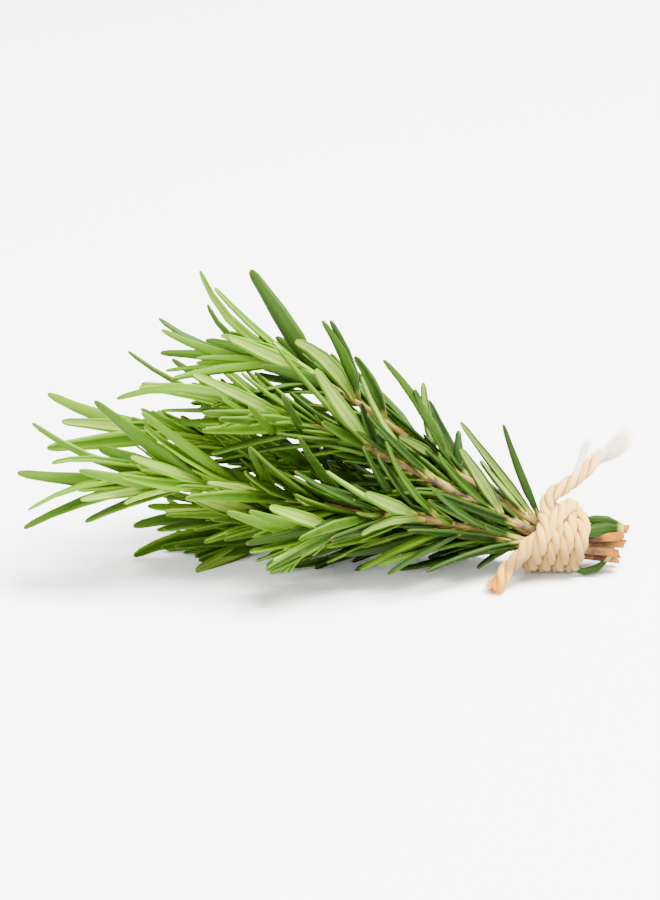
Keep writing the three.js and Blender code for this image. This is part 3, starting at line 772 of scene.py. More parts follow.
def new_mesh(name, points, edges=(), faces=(), **attributes):
    """A mesh that carries named values at its points for a geometry tree."""
    mesh = bpy.data.meshes.new(name)
    mesh.from_pydata([tuple(point) for point in points], list(edges), list(faces))
    for label, values in attributes.items():
        flat = np.asarray(values, np.float32)
        kind, field = ("FLOAT_VECTOR", "vector") if flat.ndim == 2 else ("FLOAT", "value")
        mesh.attributes.new(label, kind, "POINT").data.foreach_set(field, flat.ravel())
    return mesh


def dress(piece, node):
    """Puts a finished piece in the place of a CAD node."""
    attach(piece, "root")
    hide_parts(node)


# ---------------------------------------------------------------- materials


def new_material(name, **values):
    """A material with its Principled BSDF, whose uniform values are set on its own sockets."""
    material = bpy.data.materials.new(name)
    material.use_nodes = True
    shader = material.node_tree.nodes["Principled BSDF"]
    for label, value in values.items():
        shader.inputs[label.replace("_", " ")].default_value = value
    return material, Nodes(material.node_tree), shader.inputs


def set_inputs(nodes, shader, **sockets):
    for label, socket in sockets.items():
        nodes.tree.links.new(socket, shader[label.replace("_", " ")])


def grain_group():
    """Fine lines that wind about a piece's length, as fibres, bark or a leaf's veins do."""
    if "fine grain" in bpy.data.node_groups:
        return bpy.data.node_groups["fine grain"]
    tree, nodes, given, result = new_tree(
        "fine grain", "ShaderNodeTree",
        [("Place", "NodeSocketVector"), ("Turns", "NodeSocketFloat"), ("Across", "NodeSocketFloat"),
         ("Along", "NodeSocketFloat")],
        [("Grain", "NodeSocketFloat")],
    )
    along = nodes.parts(given["Place"])[2]
    wound = nodes.add("ShaderNodeVectorRotate", {
        "Vector": given["Place"], "Axis": (0, 0, 1), "Angle": nodes.math("MULTIPLY", along, given["Turns"]),
    }, rotation_type="AXIS_ANGLE")
    x, y, z = nodes.parts(wound)
    scaled = nodes.joined(
        nodes.math("MULTIPLY", x, given["Across"]), nodes.math("MULTIPLY", y, given["Across"]),
        nodes.math("MULTIPLY", z, given["Along"]),
    )
    tree.links.new(nodes.noise(scaled, 1.0, 3.0, 0.6), result["Grain"])
    return tree


def mottle_group():
    """Soft uneven patches, from 0 to 1."""
    if "soft mottle" in bpy.data.node_groups:
        return bpy.data.node_groups["soft mottle"]
    tree, nodes, given, result = new_tree(
        "soft mottle", "ShaderNodeTree",
        [("Place", "NodeSocketVector"), ("Scale", "NodeSocketFloat"), ("Low", "NodeSocketFloat"),
         ("High", "NodeSocketFloat")],
        [("Mottle", "NodeSocketFloat")],
    )
    patches = nodes.noise(given["Place"], given["Scale"], 3.0)
    tree.links.new(nodes.stretch(patches, given["Low"], given["High"]), result["Mottle"])
    return tree


def leaf_material(settings):
    """Waxy green above with paler margins of painted light, and pale felt with a green midrib underneath."""
    material, nodes, shader = new_material(
        "rosemary_leaf", Coat_Roughness=0.3, IOR=1.45, Specular_IOR_Level=0.06
    )
    # 0 in the groove above, 1 at the margin and 2 on the midrib underneath.
    around = nodes.attribute("around")
    # 0 at the leaf's root and 1 at its tip.
    reach = nodes.attribute("reach")
    # How old this leaf looks, and how old the leaves are in this place of the bunch. The latter also stands
    # for painted shade, darker towards the tie.
    tone = nodes.attribute("tone")
    age = nodes.attribute("age")
    place = nodes.attribute("blade", "FLOAT_VECTOR")
    patches = nodes.group(mottle_group(), {"Place": place, "Scale": 220, "Low": 0.3, "High": 0.7})
    lines = nodes.group(grain_group(), {"Place": place, "Turns": 0, "Across": 2600, "Along": 260})
    groove = nodes.stretch(around, 0.2, 0.02)
    edge = nodes.stretch(nodes.math("ABSOLUTE", nodes.math("SUBTRACT", around, 1.1)), 0.32, 0.06)
    edge = nodes.math("MULTIPLY", edge, nodes.stretch(age, 0.2, 1, 0.7, 0.35))
    felt = nodes.stretch(around, 1.38, 1.5)
    midrib = nodes.stretch(around, 1.84, 1.97)

    # The upper side: veined green, paler at the margins as painted light through the thin edge, with a faint
    # painted highlight in the groove, and paler on a young leaf.
    uneven = nodes.math("MULTIPLY_ADD", nodes.math("SUBTRACT", patches, 0.5), 0.08, age)
    age_and_painted_shade = nodes.math("MULTIPLY_ADD", nodes.math("SUBTRACT", tone, 0.5), 0.9, uneven, clamp=True)
    green = nodes.blend(age_and_painted_shade, settings.young, settings.old)
    margin = nodes.blend(age_and_painted_shade, settings.margin, settings.old_margin)
    veined = nodes.blend(nodes.math("MULTIPLY", lines, 0.3), green, margin)
    light = nodes.math("MAXIMUM", edge, nodes.math("MULTIPLY", groove, 0.12))
    light = nodes.math("MAXIMUM", light, nodes.stretch(tone, 0.4, 0, 0, 0.45))
    upper = nodes.blend(light, veined, margin)
    # The underside: felt as far as the rolled margins bare it, and a green midrib.
    bared = nodes.stretch(nodes.attribute("roll"), 0.9, 0.2, 0.06, 1)
    down = nodes.blend(nodes.stretch(age, 0.3, 0.8), settings.felt, settings.old_felt)
    down = nodes.blend(nodes.math("MULTIPLY_ADD", patches, -0.15, bared), green, down)
    lower = nodes.blend(nodes.math("MULTIPLY", midrib, 0.4), down, green)
    whole = nodes.blend(felt, upper, lower)
    # Painted shade, darker on a sprig low or deep in the bunch and towards every leaf's root; pale at the
    # root of an old leaf, and dry at the tip of some.
    painted_shade = nodes.math("ADD", nodes.attribute("shade"), nodes.stretch(reach, 0.5, 0, 0, 0.4), clamp=True)
    colour = nodes.blend(painted_shade, whole, settings.deep)
    rooted = nodes.math("MULTIPLY", nodes.stretch(reach, 0.16, 0.0), nodes.stretch(age, 0.4, 0.9))
    colour = nodes.blend(rooted, colour, settings.base)
    dried = nodes.math("MULTIPLY", nodes.stretch(reach, 0.95, 1.0), nodes.stretch(tone, 0.5, 0.8))
    colour = nodes.blend(nodes.math("MULTIPLY", dried, 0.5), colour, settings.dry)

    rough = nodes.math("MULTIPLY_ADD", felt, 0.4, nodes.math("MULTIPLY_ADD", patches, 0.1, 0.42))
    height = nodes.math("ADD", lines, nodes.math("MULTIPLY", patches, 0.5))
    normal = nodes.add("ShaderNodeBump", {"Strength": 0.35, "Distance": 0.00012, "Height": height})
    set_inputs(
        nodes, shader, Base_Color=colour, Roughness=rough, Normal=normal,
        Coat_Weight=nodes.math("MULTIPLY", nodes.math("SUBTRACT", 1, felt), settings.gloss),
    )
    return material


def stem_material(settings):
    """Bark from soft green shoots to brown wood, with tan swellings and purple between them.

    Age is 0 at a stem's tip, 1 at the tie and 1.1 where the solid's cut end is.
    """
    material, nodes, shader = new_material("rosemary_stem", Roughness=0.7, Specular_IOR_Level=0.2)
    age = nodes.attribute("age")
    place = nodes.attribute("wrap", "FLOAT_VECTOR")
    fibres = nodes.group(grain_group(), {"Place": place, "Turns": 60, "Across": 2400, "Along": 180})
    patches = nodes.group(mottle_group(), {"Place": place, "Scale": 420, "Low": 0.35, "High": 0.65})
    # Young bark: patchy purple, tan at the swellings and green towards the tip.
    purple = nodes.math("MULTIPLY", nodes.attribute("bark"), nodes.stretch(patches, 0, 1, 0.6, 1))
    bark = nodes.blend(purple, settings.tan, settings.purple)
    bark = nodes.blend(nodes.math("MULTIPLY", nodes.attribute("knot"), 0.65), bark, settings.tan)
    bark = nodes.blend(nodes.stretch(age, 0.3, 0.02), bark, settings.green)
    # From the tie to the cut end it turns brown, the more so where it was purple, and tears at the cut.
    woody = nodes.math("MULTIPLY", nodes.stretch(age, 0.98, 1.05), nodes.stretch(purple, 0, 0.6, 0.35, 1))
    brown = nodes.blend(nodes.stretch(purple, 0.2, 0.7, 0, 0.7), settings.wood, settings.cracks)
    bark = nodes.blend(woody, bark, brown)
    torn = nodes.math("MULTIPLY", nodes.stretch(age, 1.078, 1.097), nodes.stretch(fibres, 0.3, 0.5))
    bark = nodes.blend(torn, bark, settings.cut)
    dark = nodes.math("MULTIPLY_ADD", fibres, -0.9, 0.62, clamp=True)
    colour = nodes.blend(dark, bark, settings.cracks)
    normal = nodes.add("ShaderNodeBump", {"Strength": 0.6, "Distance": 0.00015, "Height": fibres})
    set_inputs(nodes, shader, Base_Color=colour, Normal=normal)
    return material


def cut_material(settings):
    """Fresh cut wood with darker patches."""
    material, nodes, shader = new_material("rosemary_cut_wood", Roughness=0.8, Specular_IOR_Level=0.1)
    place = nodes.add("ShaderNodeTexCoord", out="Object")
    patches = nodes.group(mottle_group(), {"Place": place, "Scale": 1500, "Low": 0.35, "High": 0.65})
    colour = nodes.blend(nodes.math("MULTIPLY", patches, 0.5), settings.cut, settings.wood)
    normal = nodes.add("ShaderNodeBump", {"Strength": 0.5, "Distance": 0.0002, "Height": patches})
    set_inputs(nodes, shader, Base_Color=colour, Normal=normal)
    return material


def twine_material(settings):
    """Soft cotton fibres that wind along each strand, with painted shade between the strands and near the
    table.
    """
    material, nodes, shader = new_material(
        "cotton_twine", Roughness=0.95, Sheen_Weight=0.08, Sheen_Roughness=0.6, Specular_IOR_Level=0.08
    )
    place = nodes.attribute("wrap", "FLOAT_VECTOR")
    fibres = nodes.group(grain_group(), {"Place": place, "Turns": 420, "Across": 2600, "Along": 240})
    patches = nodes.group(mottle_group(), {"Place": place, "Scale": 260, "Low": 0.3, "High": 0.75})
    dark = nodes.math("MULTIPLY_ADD", fibres, -1.6, 1.0, clamp=True)
    dark = nodes.math("MULTIPLY_ADD", patches, 0.15, dark, clamp=True)
    # Painted shade in the crevices between the strands and on their sides that face the tie.
    hollow = nodes.math("MULTIPLY", nodes.attribute("hollow"), 0.95)
    dark = nodes.math("MAXIMUM", nodes.math("MULTIPLY", dark, 0.75), hollow)
    # Painted shadow: the cotton darkens towards the table, in the bunch's own shade, but its singed end
    # hardly does.
    singed = nodes.attribute("singed")
    height = nodes.parts(nodes.add("ShaderNodeTexCoord", out="Object"))[2]
    low = nodes.stretch(height, 0.018, 0.005, 0, 0.8)
    low = nodes.math("MULTIPLY", low, nodes.stretch(singed, 0.5, 0, 0.2, 1))
    dark = nodes.math("MAXIMUM", dark, low)
    cotton = nodes.blend(dark, settings.light, settings.shade)
    cotton = nodes.blend(nodes.attribute("loose"), cotton, settings.loose)
    colour = nodes.blend(singed, cotton, settings.tip)
    normal = nodes.add("ShaderNodeBump", {"Strength": 0.8, "Distance": 0.0003, "Height": fibres})
    set_inputs(nodes, shader, Base_Color=colour, Normal=normal)
    return material


def floor_material(settings):
    """A plain pale floor, a little uneven."""
    material, nodes, shader = new_material("pale_floor", Roughness=0.9, Specular_IOR_Level=0.1)
    place = nodes.add("ShaderNodeTexCoord", out="Object")
    patches = nodes.group(mottle_group(), {"Place": place, "Scale": 3, "Low": 0.2, "High": 0.8})
    shade = tuple(0.98 * part for part in settings.floor)
    set_inputs(nodes, shader, Base_Color=nodes.blend(patches, settings.floor, shade))
    return material


# ---------------------------------------------------------------- leaves

# Half of a leaf's section, from the groove above, round the margin, to the midrib underneath. A row is
# a point (side, up) of a leaf that lies open, the same point where the margins are rolled under, and
# its place on the way round: 0 at the groove, 1 at the margin, 2 at the midrib.
HALF_SECTION = [
    (0.0, 0.4, 0.0, 0.46, 0.0), (0.56, 0.92, 0.56, 0.92, 0.55), (1.0, -0.05, 1.0, -0.15, 1.0),
    (0.8, -0.85, 0.66, -1.0, 1.3), (0.58, -0.36, 0.24, -0.62, 1.5), (0.0, -0.5, 0.0, -0.4, 2.0),
]
SMALL_SECTION = [
    (0.0, 0.4, 0.0, 0.46, 0.0), (0.6, 0.9, 0.6, 0.9, 0.6), (1.0, -0.1, 1.0, -0.15, 1.0),
    (0.7, -0.8, 0.6, -0.95, 1.35), (0.0, -0.4, 0.0, -0.5, 2.0),
]
# Where the sections lie along a leaf.
LEAF_RINGS = (0, 0.1, 0.33, 0.58, 0.79, 0.93, 0.985)
SMALL_RINGS = (0, 0.2, 0.5, 0.8, 0.95)
# A leaf's width and thickness along it: at its stalk, how much they gain and by where, where they taper
# and how much they lose, and where the round tip begins.
BLADE_WIDTH = {"stalk": 0.45, "gain": 0.6, "full": 0.3, "taper": (0.4, 1.05), "loss": 0.52, "round": 0.93}
BLADE_DEPTH = {"stalk": 0.8, "gain": 0.2, "full": 0.2, "taper": (0.5, 1), "loss": 0.25, "round": 0.95}


def blade_reach(share, form):
    """A leaf's width or thickness at a share of its length: a short stalk, a long taper, a round tip."""
    stalk = form["stalk"] + form["gain"] * smooth(share, 0, form["full"])
    taper = 1 - form["loss"] * smooth(share, *form["taper"])
    rounded = max(0, share - form["round"]) / (1 - form["round"])
    return stalk * taper * math.sqrt(1 - rounded ** 2)


def blade_object(name, half_section, rings):
    """One straight leaf of unit size along Z, which the geometry tree copies and bends."""
    section = half_section + [(-x, y, -rolled_x, rolled_y, around)
                              for x, y, rolled_x, rolled_y, around in reversed(half_section[1:-1])]
    count = len(section)
    opened, rolled, arounds = [], [], []
    for share in rings:
        wide, deep = blade_reach(share, BLADE_WIDTH), blade_reach(share, BLADE_DEPTH)
        for x, y, rolled_x, rolled_y, around in section:
            opened.append((x * wide, y * deep, share))
            rolled.append((rolled_x * wide, rolled_y * deep, share))
            arounds.append(around)
    for share in (0, 1):
        opened.append((0, 0, share))
        rolled.append((0, 0, share))
        arounds.append(1)
    base, tip = len(opened) - 2, len(opened) - 1
    last = (len(rings) - 1) * count
    faces = []
    for i in range(count):
        j = (i + 1) % count
        faces += [(ring * count + j, ring * count + i, (ring + 1) * count + i, (ring + 1) * count + j)
                  for ring in range(len(rings) - 1)]
        faces += [(base, i, j), (tip, last + j, last + i)]
    mesh = new_mesh(name, opened, faces=faces, opened=opened, rolled=rolled, around=arounds)
    blade = bpy.data.objects.new(name, mesh)
    bpy.context.scene.collection.objects.link(blade)
    return blade


def leaf_tree():
    """Copies a blade to every point of a plan and bends it along the point's own curve."""
    tree, nodes, given, result = new_tree(
        "rosemary leaves", "GeometryNodeTree",
        [("Plan", "NodeSocketGeometry"), ("Blade", "NodeSocketObject"), ("Half width", "NodeSocketFloat"),
         ("Half thickness", "NodeSocketFloat"), ("Finish", "NodeSocketMaterial")],
        [("Leaves", "NodeSocketGeometry")],
    )
    blade = nodes.add("GeometryNodeObjectInfo", {"Object": given["Blade"]}, "Geometry")
    copies = nodes.add("GeometryNodeInstanceOnPoints", {"Points": given["Plan"], "Instance": blade})
    leaves = nodes.add("GeometryNodeRealizeInstances", {0: copies})

    # The blade's own shape, from open to rolled under.
    opened = nodes.attribute("opened", "FLOAT_VECTOR")
    more = nodes.vector("SUBTRACT", nodes.attribute("rolled", "FLOAT_VECTOR"), opened)
    shaped = nodes.vector("ADD", opened, nodes.times(more, nodes.attribute("roll")))
    local_x, local_y, share = nodes.parts(shaped)

    # The leaf's curve, and its own directions at each share of it.
    root = nodes.attribute("root", "FLOAT_VECTOR")
    middle = nodes.attribute("middle", "FLOAT_VECTOR")
    tip = nodes.attribute("tip", "FLOAT_VECTOR")
    rest = nodes.math("SUBTRACT", 1, share)
    centre = nodes.vector(
        "ADD",
        nodes.vector(
            "ADD", nodes.times(root, nodes.math("MULTIPLY", rest, rest)),
            nodes.times(middle, nodes.math("MULTIPLY", nodes.math("MULTIPLY", rest, share), 2)),
        ),
        nodes.times(tip, nodes.math("MULTIPLY", share, share)),
    )
    forward = nodes.vector("NORMALIZE", nodes.vector(
        "ADD", nodes.times(nodes.vector("SUBTRACT", middle, root), rest),
        nodes.times(nodes.vector("SUBTRACT", tip, middle), share),
    ))
    facing = nodes.attribute("up", "FLOAT_VECTOR")
    level = nodes.times(forward, nodes.vector("DOT_PRODUCT", facing, forward, out="Value"))
    up = nodes.vector("NORMALIZE", nodes.vector("SUBTRACT", facing, level))
    side = nodes.vector("CROSS_PRODUCT", up, forward)

    # The blade laid along the curve, twisted towards its tip and swayed to one side.
    wide = nodes.math("MULTIPLY", given["Half width"], nodes.attribute("girth"))
    deep = nodes.math("MULTIPLY", given["Half thickness"], nodes.attribute("depth"))
    flat = nodes.joined(nodes.math("MULTIPLY", local_x, wide), nodes.math("MULTIPLY", local_y, deep), 0)
    swing = nodes.math("SINE", nodes.math("MULTIPLY", share, math.pi))
    turned = nodes.add("ShaderNodeVectorRotate", {
        "Vector": flat, "Axis": (0, 0, 1),
        "Angle": nodes.math("MULTIPLY", nodes.attribute("twist"), nodes.math("MULTIPLY", share, share)),
    }, rotation_type="AXIS_ANGLE")
    x, y, _ = nodes.parts(turned)
    x = nodes.math("ADD", x, nodes.math("MULTIPLY", swing, nodes.attribute("sway")))
    place = nodes.vector("ADD", centre, nodes.vector("ADD", nodes.times(side, x), nodes.times(up, y)))
    bent = nodes.add("GeometryNodeSetPosition", {"Geometry": leaves, "Position": place})

    # Each point's place on its blade, for the material. A leaf's tone sets its pattern apart from others.
    length = nodes.vector("DISTANCE", root, tip, out="Value")
    along = nodes.math("MULTIPLY", share, length)
    flat_x, flat_y, _ = nodes.parts(flat)
    offset = nodes.math("ADD", flat_x, nodes.attribute("tone"))
    blade_place = nodes.joined(offset, flat_y, along)
    marked = nodes.add(
        "GeometryNodeStoreNamedAttribute", {"Geometry": bent, "Name": "blade", "Value": blade_place},
        data_type="FLOAT_VECTOR",
    )
    marked = nodes.add(
        "GeometryNodeStoreNamedAttribute", {"Geometry": marked, "Name": "reach", "Value": share},
        data_type="FLOAT",
    )
    for label in ("opened", "rolled", "root", "middle", "tip", "up", "girth", "depth", "twist", "sway"):
        marked = nodes.add("GeometryNodeRemoveAttribute", {"Geometry": marked, "Name": label})
    painted = nodes.add("GeometryNodeSetMaterial", {"Geometry": marked, "Material": given["Finish"]})
    tree.links.new(painted, result["Leaves"])
    return tree


# Young leaves in the axils, round each tip and between the solids' pairs: how many, how long, how far
# they spread in degrees, and how wide and thick beside a full leaf.
AXIL_LEAVES = {"each": 3, "shortest": 7, "longest": 16, "spread": (10, 32), "girth": 0.6, "depth": 0.7}
TIP_LEAVES = {"each": 9, "shortest": 7, "longest": 17, "spread": (4, 24), "girth": 0.62, "depth": 0.75}
BETWEEN_LEAVES = {"shortest": 15, "longest": 26, "spread": (9, 32), "girth": 0.85, "depth": 0.9}
# How unevenly they stand round the stem, and how squarely one has to stand before it to hide it.
YOUNG_LEAF = {"uneven": 0.7, "hides": 0.25}


def small_leaves(sprig, stem, share, kind, random):
    """Young leaves that stand close round the stem, but not in front of it where it shows."""
    each = kind.get("each", sprig["fill"])
    for number in range(each):
        angle = math.tau * (number + YOUNG_LEAF["uneven"] * next(random)) / each + next(random)
        hides = round_stem(stem, share, angle).dot(FRONT) > YOUNG_LEAF["hides"]
        if hides and share < sprig["bare"]:
            angle += math.pi
        low, high = kind["spread"]
        spread = math.radians(low + (high - low) * next(random)) * sprig.get("close", 1)
        length = kind["shortest"] + (kind["longest"] - kind["shortest"]) * next(random)
        length *= sprig.get("small", 1)
        along = stem.towards(share)
        outward = round_stem(stem, share, angle)
        forward = along * math.cos(spread) + outward * math.sin(spread)
        root = root_on(stem, share, outward)
        leaf = leaf_of(root, root + forward * length, facing_of(forward, along, 0))
        yield share, {**leaf, "scale": kind["girth"], "depth": kind["depth"]}


# Leaves lower than this, in millimetres, lie on the table and keep their bend, and those from twice as
# high on bend freely. The low ones and the steady ones still sway, by this share.
FREE_HEIGHT = 8
LEAST_SWAY = 0.3
# How wide a leaf is at least and how much wider it may be, as shares of its width.
GIRTH = {"least": 0.92, "more": 0.16}
# How far the margins of a leaf are rolled under: at least, where no felt shows, and at most, elsewhere.
ROLLED = {"fully": 0.85, "slightly": 0.35}
# Where along the bunch the leaves are youngest and oldest, in the plan's millimetres. Their green darkens
# from the one to the other, partly as older leaves do and partly as painted shade deep in the bunch.
OLD = {"from": -35, "to": 32}
# What is added to a sprig's seed for the looks of its leaves and for its young leaves, and the seeds of
# the twine's frays and fuzz.
SEEDS = {"looks": 1000, "young": 2000, "frays": 7, "fuzz": 19}


def leaves_plan(sprig, leaves, settings):
    """A point for each leaf of a sprig, with all that the geometry tree needs to bend it."""
    random = draws(sprig["seed"] + SEEDS["looks"])
    rows = []
    for _, leaf in leaves:
        free = 0 if leaf.get("steady") else smooth(leaf["middle"][2], FREE_HEIGHT, 2 * FREE_HEIGHT)
        bend = settings.bend / MM * (2 * next(random) - 1) * free
        sway = settings.sway * (2 * next(random) - 1) * max(free, LEAST_SWAY)
        girth = leaf["scale"] * (GIRTH["least"] + GIRTH["more"] * next(random))
        twist = settings.twist * (2 * next(random) - 1)
        tone = next(random)
        if next(random) < sprig["roll"]:
            roll = ROLLED["fully"] + (1 - ROLLED["fully"]) * next(random)
        else:
            roll = ROLLED["slightly"] * next(random)
        age_and_painted_shade = (leaf["middle"][0] - OLD["from"]) / (OLD["to"] - OLD["from"])
        rows.append({
            "root": placed(leaf["root"]), "middle": placed(leaf["middle"] + leaf["up"] * bend),
            "tip": placed(leaf["tip"]), "up": leaf["up"], "girth": girth, "depth": leaf.get("depth", 1),
            "twist": 0 if "roll" in leaf else twist, "sway": sway, "tone": leaf.get("tone", tone),
            "roll": leaf.get("roll", roll), "age": min(1, max(0, age_and_painted_shade)), "shade": sprig["shade"],
        })
    columns = {label: [row[label] for row in rows] for label in rows[0]}
    return new_mesh(sprig["name"] + "_leaves_plan", columns["root"], **columns)


class ROSEMARY_OT_leaves(bpy.types.Operator):
    """Grows the leaves of every sprig, and the small young ones at its nodes and tip"""

    bl_idname = "rosemary.leaves"
    bl_label = "Rosemary Leaves"

    def execute(self, context):
        settings = context.scene.rosemary_leaves
        tree = leaf_tree()
        material = leaf_material(settings)
        blade = blade_object("leaf_blade", HALF_SECTION, LEAF_RINGS)
        small_blade = blade_object("small_leaf_blade", SMALL_SECTION, SMALL_RINGS)
        values = {"Half width": settings.half_width, "Half thickness": settings.half_thickness,
                  "Finish": material}
        for sprig in SPRIGS:
            stem = Stem(sprig)
            grown = grown_leaves(sprig, stem)
            if len(grown) < 2 * (sprig["pairs"] - 1):
                raise RuntimeError(f"{sprig['name']} has lost its leaves: the plan isn't the frame's")
            random = draws(sprig["seed"] + SEEDS["young"])
            young = list(small_leaves(sprig, stem, 1, TIP_LEAVES, random))
            for pair in range(sprig["pairs"]):
                young += small_leaves(sprig, stem, pair_share(sprig, pair), AXIL_LEAVES, random)
            for pair in range(sprig["pairs"]):
                young += small_leaves(sprig, stem, pair_share(sprig, pair - 0.5), BETWEEN_LEAVES, random)
            for suffix, leaves, copied in (("_leaves", grown, blade), ("_young_leaves", young, small_blade)):
                plan = leaves_plan(sprig, leaves, settings)
                piece = grown_piece(sprig["name"] + suffix, plan, tree, {**values, "Blade": copied})
                dress(piece, sprig["name"])
        bpy.data.objects.remove(blade)
        bpy.data.objects.remove(small_blade)
        return {"FINISHED"}


# ---------------------------------------------------------------- stems


def sweep_tree():
    """Sweeps a round section along the lines of a plan, and gives flat ends their own finish."""
    tree, nodes, given, result = new_tree(
        "swept lines", "GeometryNodeTree",
        [("Plan", "NodeSocketGeometry"), ("Sides", "NodeSocketInt"), ("Finish", "NodeSocketMaterial"),
         ("End finish", "NodeSocketMaterial"), ("Along", "NodeSocketVector")],
        [("Swept", "NodeSocketGeometry")],
    )
    centred = nodes.add(
        "GeometryNodeStoreNamedAttribute",
        {"Geometry": given["Plan"], "Name": "centre", "Value": nodes.add("GeometryNodeInputPosition")},
        data_type="FLOAT_VECTOR",
    )
    line = nodes.add("GeometryNodeMeshToCurve", {"Mesh": centred})
    distance = nodes.add("GeometryNodeSplineParameter", out="Length")
    line = nodes.add(
        "GeometryNodeStoreNamedAttribute", {"Geometry": line, "Name": "distance", "Value": distance},
        data_type="FLOAT",
    )
    ring = nodes.add("GeometryNodeCurvePrimitiveCircle", {"Resolution": given["Sides"], "Radius": 1.0})
    ring = nodes.add(
        "GeometryNodeStoreNamedAttribute",
        {"Geometry": ring, "Name": "rim", "Value": nodes.add("GeometryNodeInputPosition")},
        data_type="FLOAT_VECTOR",
    )
    swept = nodes.add(
        "GeometryNodeCurveToMesh",
        {"Curve": line, "Profile Curve": ring, "Fill Caps": True, "Scale": nodes.attribute("girth")},
    )
    # A slanted cut: the end is sheared along the line.
    radial = nodes.vector(
        "SUBTRACT", nodes.add("GeometryNodeInputPosition"), nodes.attribute("centre", "FLOAT_VECTOR")
    )
    shear = nodes.vector("DOT_PRODUCT", radial, nodes.attribute("slant", "FLOAT_VECTOR"), out="Value")
    swept = nodes.add(
        "GeometryNodeSetPosition", {"Geometry": swept, "Offset": nodes.times(given["Along"], shear)}
    )
    # Each point's place on its line, for the material.
    rim = nodes.times(nodes.attribute("rim", "FLOAT_VECTOR"), nodes.attribute("girth"))
    rim_x, rim_y, _ = nodes.parts(rim)
    wrap = nodes.joined(rim_x, rim_y, nodes.attribute("distance"))
    swept = nodes.add(
        "GeometryNodeStoreNamedAttribute", {"Geometry": swept, "Name": "wrap", "Value": wrap},
        data_type="FLOAT_VECTOR",
    )
    # Painted shade in the crevices, where the surface turns away from the line's outward side.
    outward = nodes.attribute("outward", "FLOAT_VECTOR")
    facing = nodes.vector("DOT_PRODUCT", nodes.add("GeometryNodeInputNormal"), outward, out="Value")
    hollow = nodes.math(
        "MULTIPLY", nodes.stretch(facing, 0.75, -0.15), nodes.vector("LENGTH", outward, out="Value")
    )
    swept = nodes.add(
        "GeometryNodeStoreNamedAttribute", {"Geometry": swept, "Name": "hollow", "Value": hollow},
        data_type="FLOAT",
    )
    for label in ("rim", "distance", "girth", "outward", "centre", "slant"):
        swept = nodes.add("GeometryNodeRemoveAttribute", {"Geometry": swept, "Name": label})
    # The flat ends are the only faces with more than four corners.
    whole = nodes.add("GeometryNodeRealizeInstances", {0: swept})
    whole = nodes.add("GeometryNodeSetMaterial", {"Geometry": whole, "Material": given["Finish"]})
    corners = nodes.add("GeometryNodeInputMeshFaceNeighbors", out="Vertex Count")
    is_end = nodes.add("FunctionNodeCompare", {2: corners, 3: 4}, data_type="INT", operation="GREATER_THAN")
    whole = nodes.add(
        "GeometryNodeSetMaterial",
        {"Geometry": whole, "Selection": is_end, "Material": given["End finish"]},
    )
    tree.links.new(whole, result["Swept"])
    return tree


def lines_plan(name, lines):
    """A plan of several lines. Each is a dict of its points and of what is named along them."""
    points, edges = [], []
    columns = {label: [] for label in lines[0] if label != "points"}
    for line in lines:
        start = len(points)
        points += list(placed(line["points"]))
        edges += [(i, i + 1) for i in range(start, len(points) - 1)]
        for label, column in columns.items():
            column += list(line[label])
    return new_mesh(name, points, edges, **columns)


# How steep the cuts are across the stems, and how they are turned about them, from seat to seat.
SLANT = {"steep": -0.8, "about": -50, "each": 37}
# A stem's sides and sections, how far a swelling reaches along it in millimetres, its thickness between
# two swellings and over all beside the solid's, the share of its length over which its tip is rounded and
# the square of how thick the end is, and how much age it gains from the tie to the solid's cut end.
BARK = {
    "sides": 12,
    "sections": 150,
    "knot_reach": 1.1,
    "between": 0.9,
    "thickness": 1.08,
    "tip": 0.02,
    "end": 0.04,
    "cut_age": 0.1,
}


def stem_line(sprig, stem, settings):
    """A stem's points from its cut end to its tip, with a swelling where each pair of leaves grows."""
    shares = np.linspace(-sprig.get("ends", 1), 1, BARK["sections"])
    points = np.array([stem.point(share) for share in shares])
    knots = np.array([stem.point(pair_share(sprig, pair)) for pair in range(sprig["pairs"])])
    near = np.linalg.norm(points[:, None] - knots[None], axis=-1).min(axis=1)
    knot = np.exp(-((near / BARK["knot_reach"]) ** 2))
    radius = np.array([stem.radius(share) for share in shares])
    radius = radius * (BARK["between"] + settings.swelling * knot) * BARK["thickness"]
    tip = np.sqrt(np.clip((1 - shares) / BARK["tip"], BARK["end"], 1))
    slant = 0 * points
    turn = math.radians(SLANT["about"] + SLANT["each"] * (sprig["seat"] or 0))
    slant[0] = SLANT["steep"] * (FRONT * math.cos(turn) + UPRIGHT * math.sin(turn))
    return {
        "points": points, "girth": radius * tip * MM, "knot": knot,
        "age": 1 - shares * np.where(shares > 0, 1, BARK["cut_age"]),
        "bark": [sprig["bark"]] * BARK["sections"], "outward": 0 * points, "slant": slant,
    }


class ROSEMARY_OT_stems(bpy.types.Operator):
    """Makes the woody stem of every sprig, from its cut end to its tip"""

    bl_idname = "rosemary.stems"
    bl_label = "Rosemary Stems"

    def execute(self, context):
        settings = context.scene.rosemary_stems
        tree = sweep_tree()
        values = {"Sides": BARK["sides"], "Finish": stem_material(settings),
                  "End finish": cut_material(settings), "Along": tuple(-TIE_AXIS)}
        for sprig in SPRIGS:
            plan = lines_plan(sprig["name"] + "_stem_plan", [stem_line(sprig, Stem(sprig), settings)])
            dress(grown_piece(sprig["name"] + "_stem", plan, tree, values), sprig["name"])
        return {"FINISHED"}


# ---------------------------------------------------------------- twine


def round_tie(along, angle, radius):
    """A point by its distance along the tie, its angle round it in degrees, and its radius."""
    around = math.radians(angle)
    return (
        TIE["centre"] + TIE_AXIS * along
        + radius * (TIE_ACROSS * math.cos(around) + TIE_UP * math.sin(around))
    )


